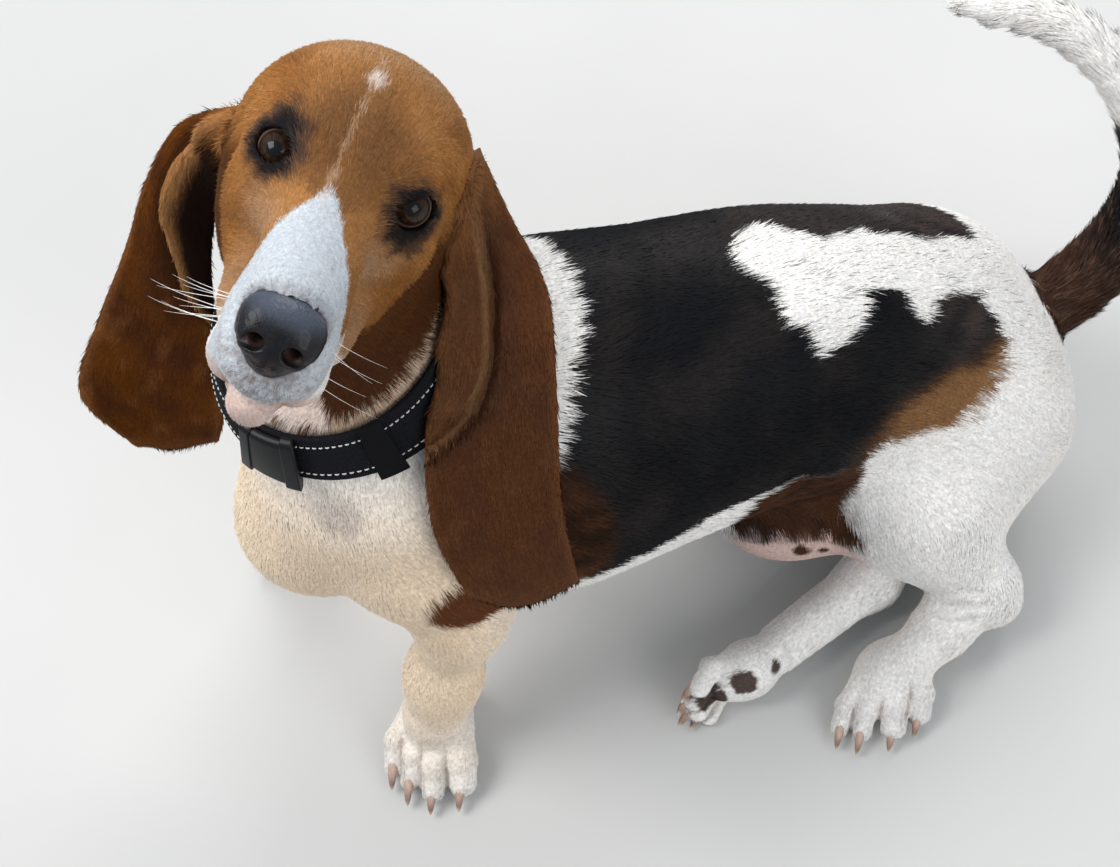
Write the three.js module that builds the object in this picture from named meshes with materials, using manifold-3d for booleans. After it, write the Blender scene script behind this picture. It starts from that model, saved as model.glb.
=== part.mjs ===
// A basset hound sitting on its right hip, life size, looking up over its left side.
// Millimetres. The origin is on the floor under the middle of the dog, +Z is up and the dog faces -X,
// so that its left side is towards -Y. The flesh is one smooth field of distances, summed from balls and
// tapered limbs, and each node is the part of that field between thin cuts.
import * as THREE from "three";
import { mergeVertices } from "three/addons/utils/BufferGeometryUtils.js";
import Module from "manifold-3d";

const wasm = await Module();
wasm.setup();

// Driving dimensions
const WITHERS = 336; // height of the shoulders above the floor
const CHEST_FRONT = -283; // x of the breastbone's tip
const RUMP = 246; // x of the seat bones
const RIB_HALF_WIDTH = 98;
const BRISKET = 102; // height of the lowest rib
const NECK_R = 57;
const EYE_R = 11.5;
const EYE_SPREAD = 31.5; // half the distance between the eyes
const MUZZLE_TIP = 112; // from between the eyes to the front of the nose
const EAR_THICK = 6;
const EAR_ROOT = 5; // how much thicker an ear is on each side where it grows from the skull
const CLAW_LENGTH = 18;
const TAIL_ROOT_R = 23;
const TAIL_TIP_R = 7;
const COLLAR_WIDTH = 25;
const COLLAR_THICK = 3.2;
const GAP = 0.3; // between any two pieces that touch

// Where the head is, and which way its nose and its crown point
const HEAD = new THREE.Vector3(-149, 28, 468);
const NOSE_WAY = new THREE.Vector3(-0.254, -0.732, 0.632);
const LEFT_WAY = new THREE.Vector3(0.709, -0.585, -0.393);

const v3 = (x, y, z) => new THREE.Vector3(x, y, z);

// An orthonormal frame from a main way and a second one that is squared up to it
function frameOf(origin, forward, side) {
  const f = forward.clone().normalize();
  const s = side.clone().addScaledVector(f, -side.dot(f)).normalize();
  const u = new THREE.Vector3().crossVectors(f, s);
  return new THREE.Matrix4().makeBasis(f, s, u).setPosition(origin);
}
const headFrame = frameOf(HEAD, NOSE_WAY, LEFT_WAY);
const onHead = (x, y, z) => v3(x, y, z).applyMatrix4(headFrame);

// Fields of distance: each is a function of x, y, z

// A ball with three half-axes, turned and placed by a frame
function ball(frame, centre, radii) {
  const place = frame.clone().multiply(new THREE.Matrix4().makeTranslation(...centre));
  const m = place.clone().invert().elements;
  const [a, b, c] = radii;
  const least = Math.min(a, b, c);
  return (x, y, z) => {
    const px = (m[0] * x + m[4] * y + m[8] * z + m[12]) / a;
    const py = (m[1] * x + m[5] * y + m[9] * z + m[13]) / b;
    const pz = (m[2] * x + m[6] * y + m[10] * z + m[14]) / c;
    const k0 = Math.hypot(px, py, pz);
    const k1 = Math.hypot(px / a, py / b, pz / c);
    return k1 < 1e-9 ? -least : (k0 * (k0 - 1)) / k1;
  };
}
const upright = new THREE.Matrix4();

// A limb that tapers from one point to another
function limb(a, b, ra, rb) {
  const ab = b.clone().sub(a);
  const len2 = ab.lengthSq();
  return (x, y, z) => {
    const px = x - a.x;
    const py = y - a.y;
    const pz = z - a.z;
    const t = Math.min(1, Math.max(0, (px * ab.x + py * ab.y + pz * ab.z) / len2));
    return Math.hypot(px - t * ab.x, py - t * ab.y, pz - t * ab.z) - (ra + (rb - ra) * t);
  };
}

// Two distances joined with a fillet about k wide
function blended(a, b, k) {
  const h = Math.max(k - Math.abs(a - b), 0) / k;
  return Math.min(a, b) - (h * h * k) / 4;
}

// Many fields joined, each with its own fillet: a list of [field, k]
const joined = (list) => (x, y, z) => {
  let d = list[0][0](x, y, z);
  for (let i = 1; i < list.length; i++) d = blended(d, list[i][0](x, y, z), list[i][1]);
  return d;
};

// A field with others hollowed out of it
const hollowed = (field, cuts, k) => (x, y, z) => {
  let d = field(x, y, z);
  for (const cut of cuts) d = -blended(-d, cut(x, y, z), k);
  return d;
};

// From a field to a closed mesh

// The surface of a field inside a box. Each cell of the grid is split into six tetrahedra along its
// long diagonal, and each of those is crossed by one triangle or by two.
const BLOCK = 5; // grid points along each side of a block that is skipped if it is far from the surface
const FAR = 1.5;
const WALKS = [[1, 2, 4], [2, 4, 1], [4, 1, 2], [1, 4, 2], [4, 2, 1], [2, 1, 4]];
function netOf(field, low, high, step) {
  const [nx, ny, nz] = [0, 1, 2].map((i) => Math.ceil((high[i] - low[i]) / step) + 1);
  const value = new Float32Array(nx * ny * nz);
  const at = (i, j, k) => i + nx * (j + ny * k);
  const probe = (i, j, k) => field(low[0] + i * step, low[1] + j * step, low[2] + k * step) || 1e-4;
  const half = (BLOCK - 1) / 2;
  for (let K = 0; K < nz; K += BLOCK)
    for (let J = 0; J < ny; J += BLOCK)
      for (let I = 0; I < nx; I += BLOCK) {
        const middle = probe(I + half, J + half, K + half);
        const far = Math.abs(middle) > BLOCK * step * FAR;
        for (let k = K; k < Math.min(nz, K + BLOCK); k++)
          for (let j = J; j < Math.min(ny, J + BLOCK); j++)
            for (let i = I; i < Math.min(nx, I + BLOCK); i++) {
              const rim = i * j * k === 0 || i === nx - 1 || j === ny - 1 || k === nz - 1;
              const d = far ? middle : probe(i, j, k);
              value[at(i, j, k)] = rim ? Math.max(d, step / 4) : d;
            }
      }
  const offset = (c) => (c & 1) + nx * (((c >> 1) & 1) + ny * (c >> 2));
  const points = [];
  const triangles = [];
  const made = new Map();
  const place = (n) => [n % nx, Math.floor(n / nx) % ny, Math.floor(n / (nx * ny))];
  const crossing = (n, m) => {
    const key = n < m ? n * 8 * nx * ny + (m - n) : m * 8 * nx * ny + (n - m);
    if (!made.has(key)) {
      const t = Math.min(0.98, Math.max(0.02, value[n] / (value[n] - value[m])));
      const [p, q] = [place(n), place(m)];
      made.set(key, points.push(p.map((c, i) => low[i] + (c + t * (q[i] - c)) * step)) - 1);
    }
    return made.get(key);
  };
  for (let k = 0; k < nz - 1; k++)
    for (let j = 0; j < ny - 1; j++)
      for (let i = 0; i < nx - 1; i++) {
        const base = at(i, j, k);
        let inside = 0;
        for (let c = 0; c < 8; c++) if (value[base + offset(c)] < 0) inside++;
        if (inside === 0 || inside === 8) continue;
        WALKS.forEach(([a, b], walk) => {
          const four = [0, a, a | b, 7].map((c) => base + offset(c));
          const ins = four.filter((n) => value[n] < 0);
          const outs = four.filter((n) => value[n] >= 0);
          if (!ins.length || !outs.length) return;
          const order = [...ins, ...outs].map((n) => four.indexOf(n));
          let odd = walk > 2;
          for (let p = 0; p < 4; p++) for (let q = p + 1; q < 4; q++) if (order[p] > order[q]) odd = !odd;
          const ring =
            ins.length === 1
              ? outs.map((n) => crossing(ins[0], n))
              : ins.length === 3
                ? ins.map((n) => crossing(n, outs[0]))
                : [[0, 0], [0, 1], [1, 1], [1, 0]].map(([p, q]) => crossing(ins[p], outs[q]));
          if (odd) ring.reverse();
          triangles.push([ring[0], ring[1], ring[2]]);
          if (ring.length === 4) triangles.push([ring[0], ring[2], ring[3]]);
        });
      }
  return { points, triangles };
}

// Moves the points of a net onto the field's true surface
function settled(net, field, step, level = 0) {
  const e = step * 0.1;
  for (const p of net.points)
    for (let round = 0; round < 3; round++) {
      const d = field(...p) - level;
      const g = [
        field(p[0] + e, p[1], p[2]) - field(p[0] - e, p[1], p[2]),
        field(p[0], p[1] + e, p[2]) - field(p[0], p[1] - e, p[2]),
        field(p[0], p[1], p[2] + e) - field(p[0], p[1], p[2] - e),
      ].map((c) => c / (2 * e));
      const g2 = g[0] ** 2 + g[1] ** 2 + g[2] ** 2;
      if (g2 < 0.05) break;
      const limit = Math.max(-step * 0.5, Math.min(step * 0.5, d / g2));
      for (let m = 0; m < 3; m++) p[m] -= limit * g[m];
    }
  return net;
}

// The same surface with fewer triangles: the edge whose loss changes the shape least goes first
function thinned(net, target) {
  const P = net.points;
  const T = net.triangles.map((t) => [...t]);
  const around = P.map(() => new Set());
  T.forEach((t, i) => t.forEach((v) => around[v].add(i)));
  const sub = (a, b) => [a[0] - b[0], a[1] - b[1], a[2] - b[2]];
  const cross = (a, b) => [
    a[1] * b[2] - a[2] * b[1],
    a[2] * b[0] - a[0] * b[2],
    a[0] * b[1] - a[1] * b[0],
  ];
  const normalOf = (a, b, c) => cross(sub(b, a), sub(c, a));
  const Q = P.map(() => new Float64Array(10));
  for (const [a, b, c] of T) {
    const n = normalOf(P[a], P[b], P[c]);
    const size = Math.hypot(...n) || 1e-12;
    const [x, y, z] = n.map((m) => m / size);
    const w = -(x * P[a][0] + y * P[a][1] + z * P[a][2]);
    const q = [x * x, x * y, x * z, x * w, y * y, y * z, y * w, z * z, z * w, w * w];
    for (const v of [a, b, c]) q.forEach((m, i) => (Q[v][i] += m * size));
  }
  const errorAt = (q, [x, y, z]) =>
    q[0] * x * x + 2 * q[1] * x * y + 2 * q[2] * x * z + 2 * q[3] * x + q[4] * y * y +
    2 * q[5] * y * z + 2 * q[6] * y + q[7] * z * z + 2 * q[8] * z + q[9];
  const stamp = new Int32Array(P.length);
  const heap = [];
  const less = (a, b) => a.cost < b.cost;
  const push = (item) => {
    let i = heap.push(item) - 1;
    while (i > 0) {
      const up = (i - 1) >> 1;
      if (!less(heap[i], heap[up])) break;
      [heap[i], heap[up]] = [heap[up], heap[i]];
      i = up;
    }
  };
  const pop = () => {
    const top = heap[0];
    const last = heap.pop();
    if (heap.length) {
      heap[0] = last;
      for (let i = 0; ; ) {
        const l = 2 * i + 1;
        const r = l + 1;
        let m = i;
        if (l < heap.length && less(heap[l], heap[m])) m = l;
        if (r < heap.length && less(heap[r], heap[m])) m = r;
        if (m === i) break;
        [heap[i], heap[m]] = [heap[m], heap[i]];
        i = m;
      }
    }
    return top;
  };
  const offer = (a, b) => {
    const q = Q[a].map((m, i) => m + Q[b][i]);
    const middle = P[a].map((m, i) => (m + P[b][i]) / 2);
    const options = [middle, P[a], P[b]];
    let best = null;
    for (const p of options) {
      const cost = errorAt(q, p);
      if (!best || cost < best.cost) best = { cost, p: [...p] };
    }
    const len = Math.hypot(...sub(P[a], P[b]));
    push({ a, b, cost: best.cost + 1e-4 * len * len * len, p: best.p, sa: stamp[a], sb: stamp[b] });
  };
  T.forEach(([a, b, c]) => {
    if (a < b) offer(a, b);
    if (b < c) offer(b, c);
    if (c < a) offer(c, a);
  });
  let alive = T.length;
  while (alive > target && heap.length) {
    const { a, b, p, sa, sb } = pop();
    if (stamp[a] !== sa || stamp[b] !== sb) continue;
    const shared = [...around[a]].filter((t) => around[b].has(t));
    if (shared.length !== 2) continue;
    const ring = (v) => new Set([...around[v]].flatMap((t) => T[t]).filter((u) => u !== v));
    const ringB = ring(b);
    if ([...ring(a)].filter((u) => ringB.has(u)).length !== 2) continue;
    const turned = (v, other) =>
      [...around[v]].some((t) => {
        if (around[other].has(t)) return false;
        const before = normalOf(...T[t].map((u) => P[u]));
        const after = normalOf(...T[t].map((u) => (u === v ? p : P[u])));
        const dot = before[0] * after[0] + before[1] * after[1] + before[2] * after[2];
        return dot < 0.4 * Math.hypot(...before) * Math.hypot(...after) || Math.hypot(...after) < 1e-3;
      });
    if (turned(a, b) || turned(b, a)) continue;
    P[a] = p;
    Q[a] = Q[a].map((m, i) => m + Q[b][i]);
    for (const t of shared) {
      T[t].forEach((u) => around[u].delete(t));
      T[t] = null;
      alive--;
    }
    for (const t of around[b]) {
      T[t] = T[t].map((u) => (u === b ? a : u));
      around[a].add(t);
    }
    around[b].clear();
    stamp[a]++;
    stamp[b]++;
    for (const u of ring(a)) offer(a, u);
  }
  const name = new Map();
  const points = [];
  const triangles = T.filter(Boolean).map((t) =>
    t.map((u) => {
      if (!name.has(u)) name.set(u, points.push(P[u]) - 1);
      return name.get(u);
    }),
  );
  return { points, triangles };
}

// A closed solid for joining and cutting
function solidOf({ points, triangles }) {
  const vertProperties = new Float32Array(points.flat());
  const triVerts = new Uint32Array(triangles.flat());
  const mesh = new wasm.Mesh({ numProp: 3, vertProperties, triVerts });
  mesh.merge();
  return new wasm.Manifold(mesh);
}
function solidOfGeometry(geometry) {
  const plain = geometry.clone();
  for (const name of Object.keys(plain.attributes)) if (name !== "position") plain.deleteAttribute(name);
  const merged = mergeVertices(plain, 1e-3);
  const pos = merged.attributes.position;
  const points = Array.from({ length: pos.count }, (_, i) => [pos.getX(i), pos.getY(i), pos.getZ(i)]);
  const index = merged.index.array;
  const triangles = Array.from({ length: index.length / 3 }, (_, i) => [...index.slice(3 * i, 3 * i + 3)]);
  const full = triangles.filter(([a, b, c]) => a !== b && b !== c && c !== a);
  return solidOf({ points, triangles: full });
}
function netOfSolid(solid) {
  const { vertProperties: v, triVerts: t, numVert, numTri } = solid.getMesh();
  const points = Array.from({ length: numVert }, (_, i) => [...v.slice(3 * i, 3 * i + 3)]);
  const triangles = Array.from({ length: numTri }, (_, i) => [...t.slice(3 * i, 3 * i + 3)]);
  return { points, triangles };
}

// A solid grown outwards by a small distance, to cut a neighbour clear of it
function grown(solid, by) {
  const { points, triangles } = netOfSolid(solid);
  const push = points.map(() => v3(0, 0, 0));
  for (const t of triangles) {
    const [a, b, c] = t.map((i) => v3(...points[i]));
    for (const [i, [p, q, r]] of [[0, [a, b, c]], [1, [b, c, a]], [2, [c, a, b]]]) {
      const e1 = q.clone().sub(p);
      const e2 = r.clone().sub(p);
      const n = new THREE.Vector3().crossVectors(e1, e2).normalize();
      push[t[i]].addScaledVector(n, e1.angleTo(e2));
    }
  }
  const moved = points.map((p, i) => {
    const n = push[i].length() > 1e-6 ? push[i].normalize() : v3(0, 0, 0);
    return [p[0] + n.x * by, p[1] + n.y * by, p[2] + n.z * by];
  });
  return solidOf({ points: moved, triangles });
}

const largest = (solid) => {
  const pieces = solid.decompose();
  return pieces.reduce((a, b) => (b.volume() > a.volume() ? b : a));
};

// Everything on the side of a plane that its normal points to, moved along it by shift
const BIG = 1600;
function halfSpace(point, normal, shift) {
  const n = normal.clone().normalize();
  const turn = new THREE.Quaternion().setFromUnitVectors(v3(0, 0, 1), n);
  const centre = point.clone().addScaledVector(n, BIG / 2 + shift);
  const box = new THREE.BoxGeometry(BIG, BIG, BIG).applyQuaternion(turn).translate(...centre);
  return solidOfGeometry(box);
}
const FLOOR = halfSpace(v3(0, 0, 0), v3(0, 0, 1), 0);

// The part of space inside all the planes [point, normal], its walls moved in by shift
const between = (planes, shift) =>
  planes.map(([point, normal]) => halfSpace(point, normal, shift)).reduce((a, b) => a.intersect(b));

// The dog's forms
const trunk = [
  [ball(upright, [CHEST_FRONT + 48, 12, 196], [42, 46, 50]), 34],
  [ball(upright, [-170, 6, 226], [66, 74, 86]), 40],
  [ball(upright, [-85, 2, (WITHERS + BRISKET) / 2], [118, RIB_HALF_WIDTH, (WITHERS - BRISKET) / 2]), 50],
  [ball(upright, [30, 0, 196], [105, 88, 98]), 50],
  [ball(upright, [118, 0, 150], [88, 82, 88]), 50],
  [ball(upright, [178, 4, 98], [RUMP - 178, 84, 92]), 45],
  [ball(upright, [66, -52, 84], [66, 44, 44]), 26],
];

const neck = [
  [limb(v3(-183, 12, 262), v3(-180, 30, 322), NECK_R + 8, NECK_R), 40],
  [limb(v3(-180, 30, 322), v3(-150, 72, 390), NECK_R, NECK_R - 6), 30],
];

// Both sides of the head, from the left one's numbers
const bothSides = (make) => [1, -1].flatMap(make);

const skull = [
  [ball(headFrame, [-64, 0, -4], [67, 60, 53]), 20],
  [ball(headFrame, [-22, 0, 0], [36, 43, 31]), 20],
  [ball(headFrame, [-120, 0, 6], [16, 14, 14]), 26],
  ...bothSides((s) => [[ball(headFrame, [-42, s * 32, -26], [40, 22, 30]), 20]]),
  ...bothSides((s) => [[ball(headFrame, [-52, s * 29, -50], [34, 19, 28]), 18]]),
  ...bothSides((s) => [[limb(onHead(-26, s * 25, 16), onHead(-4, s * 24, 14), 13, 8), 12]]),
  [limb(onHead(0, 0, -20), onHead(90, 0, -30), 28, 21), 24],
  [ball(headFrame, [95, 0, -56], [14, 18, 16]), 10],
  ...bothSides((s) => [
    [limb(onHead(86, s * 11, -58), onHead(58, s * 13, -71), 12, 14), 8],
    [limb(onHead(58, s * 13, -71), onHead(12, s * 18, -68), 14, 13), 8],
    [limb(onHead(12, s * 18, -68), onHead(-22, s * 27, -50), 13, 12), 12],
    [ball(headFrame, [60, s * 11, -48], [36, 17, 22]), 10],
  ]),
];
const throat = [limb(onHead(-70, 0, -44), onHead(-20, 0, -62), 42, 26), 24];
const jaw = joined([
  [limb(onHead(-40, 0, -72), onHead(50, 0, -82), 24, 15), 0],
  [limb(onHead(50, 0, -82), onHead(82, 0, -80), 15, 12), 10],
]);

// The eyes, with lids over them
const eyeAt = (s) => onHead(-9, s * EYE_SPREAD, 1);
const gazeFrame = (s) => {
  const forward = v3(0.93, s * 0.2, 0.18).transformDirection(headFrame);
  const side = v3(-0.2, s * 0.93, 0).transformDirection(headFrame);
  return frameOf(eyeAt(s), forward, side);
};
const lidBalls = bothSides((s) => [[ball(gazeFrame(s), [0, 0, 0], [14.5, 15.5, 14.5]), 8]]);
const lidSlit = (s) => {
  const [above, below] = [[[12, 12.5, 11.5], -6], [[12, 11, 10], 1]].map(([radii, z]) =>
    solidOfGeometry(
      new THREE.SphereGeometry(1, 18, 12).scale(...radii).translate(10, 0, z).applyMatrix4(gazeFrame(s)),
    ),
  );
  return above.intersect(below);
};
const faceField = joined([...skull, throat, ...lidBalls]);
const headField = (x, y, z) => Math.min(faceField(x, y, z), jaw(x, y, z));

// A leg as a chain of joints, each [point, radius]
const chain = (stops, k) =>
  stops.slice(1).map(([point, r], i) => [limb(stops[i][0], point, stops[i][1], r), k]);

const foreStops = {
  left: [[v3(-182, -48, 206), 36], [v3(-174, -62, 146), 24], [v3(-198, -68, 76), 20], [v3(-212, -79, 44), 20]],
  right: [[v3(-188, 64, 206), 38], [v3(-180, 78, 146), 26], [v3(-212, 82, 76), 21], [v3(-226, 84, 44), 21]],
};
const thighStops = {
  left: [[v3(172, -48, 96), 68], [v3(120, -92, 98), 46]],
  right: [[v3(176, 46, 76), 66], [v3(92, 62, 56), 48]],
};
const shankStops = {
  left: [[v3(118, -96, 94), 44], [v3(141, -140, 44), 24], [v3(113, -153, 32), 18], [v3(82, -164, 26), 18]],
  right: [[v3(108, 52, 46), 38], [v3(124, -78, 32), 22], [v3(84, -104, 29), 19], [v3(14, -122, 28), 17]],
};
const heels = {
  left: [
    [limb(v3(142, -142, 44), v3(149, -152, 33), 21, 16), 12],
    [limb(v3(180, -60, 72), v3(146, -122, 50), 50, 14), 14],
  ],
  right: [[limb(v3(124, -78, 32), v3(133, -90, 27), 20, 15), 12]],
};

// A paw: four toes in front of one body, along its frame's first axis, soles down. The instep is how
// high the leg's end stands over the body, and each toe is how far its tip reaches, how far it lies to
// the side, and its radius.
const pawNumbers = {
  fore_left: { size: 1.0, instep: 18, toes: [[19, -25, 9], [27, -13, 9.6], [33, 3, 11.5], [28, 21, 11.5]] },
  fore_right: { size: 1.0, instep: 18, toes: [[27, -24, 9.6], [33, -8, 9.6], [33, 8, 9.6], [27, 24, 9.6]] },
  hind_left: { size: 0.88, instep: 4, toes: [[28, -25, 9], [28, -10, 9.6], [22, 12, 12], [7, 28, 11]] },
  hind_right: { size: 0.88, instep: 2, toes: [[28, -20, 9], [33, -8, 9.6], [30, 7, 9.6], [21, 20, 9]] },
};
const pawFrames = {
  fore_left: frameOf(v3(-219, -84, 19), v3(-0.5, -0.866, -0.08), v3(0.866, -0.5, 0)),
  fore_right: frameOf(v3(-239, 88, 19), v3(-0.94, 0.34, -0.08), v3(-0.34, -0.94, 0)),
  hind_left: frameOf(v3(58, -175, 17), v3(-0.6, -0.8, -0.08), v3(0.8, -0.6, 0)),
  hind_right: frameOf(v3(-28, -129, 27), v3(-0.98, -0.06, -0.19), v3(-0.2, 0.25, 0.95)),
};
function pawForms(name) {
  const frame = pawFrames[name];
  const { size, instep, toes } = pawNumbers[name];
  const at = (x, y, z) => v3(x * size, y * size, z * size).applyMatrix4(frame);
  const some = (centre, radii) => ball(frame, centre.map((v) => v * size), radii.map((r) => r * size));
  const forms = [
    [some([-12, 0, -2], [27, 24, 17]), 16],
    [some([-12, 0, -10], [16, 17, 9]), 8],
    [limb(at(-14, 0, instep), at(8, 0, 2), 18 * size, 13 * size), 14],
  ];
  for (const [reach, side, thick] of toes) {
    const knuckle = at(reach - 13, side * 0.94, 4);
    forms.push([limb(at(reach - 34, side * 0.67, 1), knuckle, thick * size, thick * size), 4]);
    const tip = at(reach + 10 - thick, side, thick - 16);
    forms.push([limb(knuckle, tip, thick * size, 0.94 * thick * size), 2.5]);
  }
  return forms;
}
const paws = Object.fromEntries(Object.keys(pawNumbers).map((name) => [name, pawForms(name)]));

// Claws: blunt cones bent towards the floor, one from each toe
function clawSolids(name) {
  const { size, toes } = pawNumbers[name];
  return toes.map(([reach, side]) => {
    const claw = new THREE.CylinderGeometry(1.9 * size, 4 * size, CLAW_LENGTH * size, 6, 3);
    const pos = claw.attributes.position;
    for (let n = 0; n < pos.count; n++) {
      const along = pos.getY(n) / (CLAW_LENGTH * size) + 0.5;
      pos.setZ(n, pos.getZ(n) - 7 * size * along * along);
    }
    claw.rotateZ(-Math.PI / 2);
    claw.translate((reach + 2 + CLAW_LENGTH / 2) * size, side * size, -3 * size);
    return solidOfGeometry(claw.applyMatrix4(pawFrames[name]));
  });
}

// The tail, a curve from its root to its tip
const tailCurve = new THREE.CatmullRomCurve3([
  v3(216, -4, 96),
  v3(258, -10, 122),
  v3(292, -10, 166),
  v3(306, -2, 224),
  v3(294, 26, 282),
  v3(258, 58, 322),
  v3(212, 76, 342),
]);
const TAIL_STEPS = 18;
const tailRadius = (t) => TAIL_TIP_R + (TAIL_ROOT_R - TAIL_TIP_R) * (1 - t) ** 0.75;
const tail = Array.from({ length: TAIL_STEPS }, (_, i) => {
  const [t0, t1] = [i / TAIL_STEPS, (i + 1) / TAIL_STEPS];
  return [limb(tailCurve.getPointAt(t0), tailCurve.getPointAt(t1), tailRadius(t0), tailRadius(t1)), i ? 6 : 22];
});

const coreField = joined([
  ...trunk,
  ...neck,
  ...chain(foreStops.left, 26),
  ...paws.fore_left,
  ...chain(foreStops.right, 26),
  ...paws.fore_right,
  ...chain(thighStops.left, 34),
  ...chain(thighStops.right, 34),
  ...tail,
]);
const headJoin = 26;
const headAndNeck = (x, y, z) => blended(coreField(x, y, z), headField(x, y, z), headJoin);
const leftHind = joined([...chain(shankStops.left, 14), ...heels.left, ...paws.hind_left]);
const rightHind = joined([...chain(shankStops.right, 14), ...heels.right, ...paws.hind_right]);
const withLeft = (x, y, z) => blended(coreField(x, y, z), leftHind(x, y, z), 20);

// Cuts between the nodes: a point on each plane and the way that it faces
const cuts = {
  head: [v3(-165, 60, 366), v3(-0.03, -0.17, 0.985)],
  neck: [v3(-175, 10, 297), v3(-0.45, 0.05, 0.89)],
  foreLeft: [v3(-172, -62, 128), v3(0, -0.6, -0.8)],
  foreRight: [v3(-182, 72, 128), v3(0, 0.6, -0.8)],
  wristLeft: [v3(-206, -75, 54), v3(-0.35, -0.45, -0.82)],
  wristRight: [v3(-220, 83, 54), v3(-0.5, 0.15, -0.85)],
  thighLeft: [v3(128, -62, 120), v3(0.25, -0.93, -0.27)],
  thighRight: [v3(140, 66, 60), v3(-0.1, 0.93, -0.35)],
  shankLeft: [v3(126, -112, 78), v3(0.33, -0.64, -0.69)],
  shankRight: [v3(90, 18, 46), v3(0.03, -1, -0.05)],
  ankleLeft: [v3(90, -161, 28), v3(-0.85, -0.5, -0.12)],
  ankleRight: [v3(26, -119, 28), v3(-0.96, -0.25, 0)],
  tailRoot: [v3(262, -10, 127), v3(0.61, 0, 0.79)],
  tailMiddle: [v3(306, -1, 226), v3(0.0, 0.25, 0.97)],
};
const opposite = ([point, normal]) => [point, normal.clone().negate()];
const MIDDLE_LEFT = [v3(0, -6, 0), v3(0, -1, 0)];
const MIDDLE_RIGHT = [v3(0, 6, 0), v3(0, 1, 0)];
const HOCK_SIDE = [v3(150, -110, 0), v3(-0.3, -0.95, 0)];
const TAIL_SIDE = [v3(238, 0, 0), v3(1, 0, 0)];
const IN_FRONT = [v3(-112, 0, 0), v3(-1, 0, 0)];
const BEHIND = [v3(36, 0, 0), v3(1, 0, 0)];

// One node: the field's surface in a box, thinned, cut by planes and pressed flat on the floor
function fleshNode(field, low, high, step, count, planes, without = []) {
  const net = settled(thinned(netOf(field, low, high, step), count), field, step);
  let solid = solidOf(net).intersect(FLOOR);
  if (planes.length) solid = solid.intersect(between(planes, GAP / 2));
  for (const other of without) solid = solid.subtract(between(other, -GAP / 2));
  return largest(solid);
}

const foreLeftSpace = [cuts.foreLeft, MIDDLE_LEFT, IN_FRONT];
const foreRightSpace = [cuts.foreRight, MIDDLE_RIGHT, IN_FRONT];
const thighLeftSpace = [cuts.thighLeft, BEHIND];
const thighRightSpace = [cuts.thighRight, BEHIND];
const shankLeftSpace = [cuts.shankLeft, HOCK_SIDE];
const tailSpace = [cuts.tailRoot, TAIL_SIDE];

const solids = {};
const whole = [[-330, -150, -20], [330, 150, 370]];
solids.torso = fleshNode(
  coreField, ...whole, 9, 3000,
  [opposite(cuts.neck)],
  [foreLeftSpace, foreRightSpace, thighLeftSpace, thighRightSpace, tailSpace],
);
solids.neck = fleshNode(
  headAndNeck, [-300, -110, 220], [-40, 200, 430], 7, 1100,
  [cuts.neck, opposite(cuts.head)],
);
solids.head = fleshNode(headAndNeck, [-280, -110, 330], [-40, 200, 545], 3.2, 3000, [cuts.head]);
solids.foreleg_left = fleshNode(
  coreField, [-290, -150, -20], [-100, 10, 230], 6, 1100,
  [...foreLeftSpace, opposite(cuts.wristLeft)],
);
solids.forepaw_left = fleshNode(
  coreField, [-300, -180, -12], [-140, -20, 110], 3.4, 620,
  [...foreLeftSpace, cuts.wristLeft],
);
solids.foreleg_right = fleshNode(
  coreField, [-310, -10, -20], [-110, 160, 230], 6, 1100,
  [...foreRightSpace, opposite(cuts.wristRight)],
);
solids.forepaw_right = fleshNode(
  coreField, [-330, 20, -12], [-170, 170, 110], 3.4, 620,
  [...foreRightSpace, cuts.wristRight],
);
solids.thigh_left = fleshNode(
  withLeft, [0, -220, -20], [280, 60, 240], 7, 1200,
  thighLeftSpace,
  [shankLeftSpace, tailSpace],
);
solids.shank_left = fleshNode(
  withLeft, [20, -230, -20], [230, -20, 170], 5.5, 560,
  [...shankLeftSpace, opposite(cuts.ankleLeft)],
);
solids.hindpaw_left = fleshNode(
  leftHind, [-20, -240, -12], [150, -110, 90], 3.2, 620,
  [cuts.ankleLeft],
);
solids.thigh_right = fleshNode(
  coreField, [0, -60, -20], [280, 160, 200], 7, 1100,
  thighRightSpace,
  [tailSpace],
);
solids.shank_right = fleshNode(
  rightHind, [-20, -150, -20], [180, 110, 120], 5.5, 560,
  [opposite(cuts.ankleRight)],
);
solids.hindpaw_right = fleshNode(
  rightHind, [-100, -190, -12], [80, -60, 90], 3.2, 620,
  [cuts.ankleRight],
);
solids.tail_root = fleshNode(
  coreField, [180, -60, 60], [345, 60, 270], 5, 400,
  [...tailSpace, opposite(cuts.tailMiddle)],
);
solids.tail_tip = fleshNode(
  coreField, [180, -60, 180], [345, 110, 370], 5, 500,
  [cuts.tailMiddle],
);
const hindRight = [solids.shank_right, solids.hindpaw_right].map((solid) => grown(solid, GAP * 1.5));
for (const name of ["torso", "thigh_right", "thigh_left", "shank_left", "hindpaw_left"])
  for (const limbSolid of hindRight) solids[name] = largest(solids[name].subtract(limbSolid));

// Claws, fused to their paws
for (const name of Object.keys(pawNumbers)) {
  const paw = name.replace("_", "paw_");
  for (const claw of clawSolids(name)) solids[paw] = solids[paw].add(claw);
  solids[paw] = largest(solids[paw].intersect(FLOOR));
}

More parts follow.
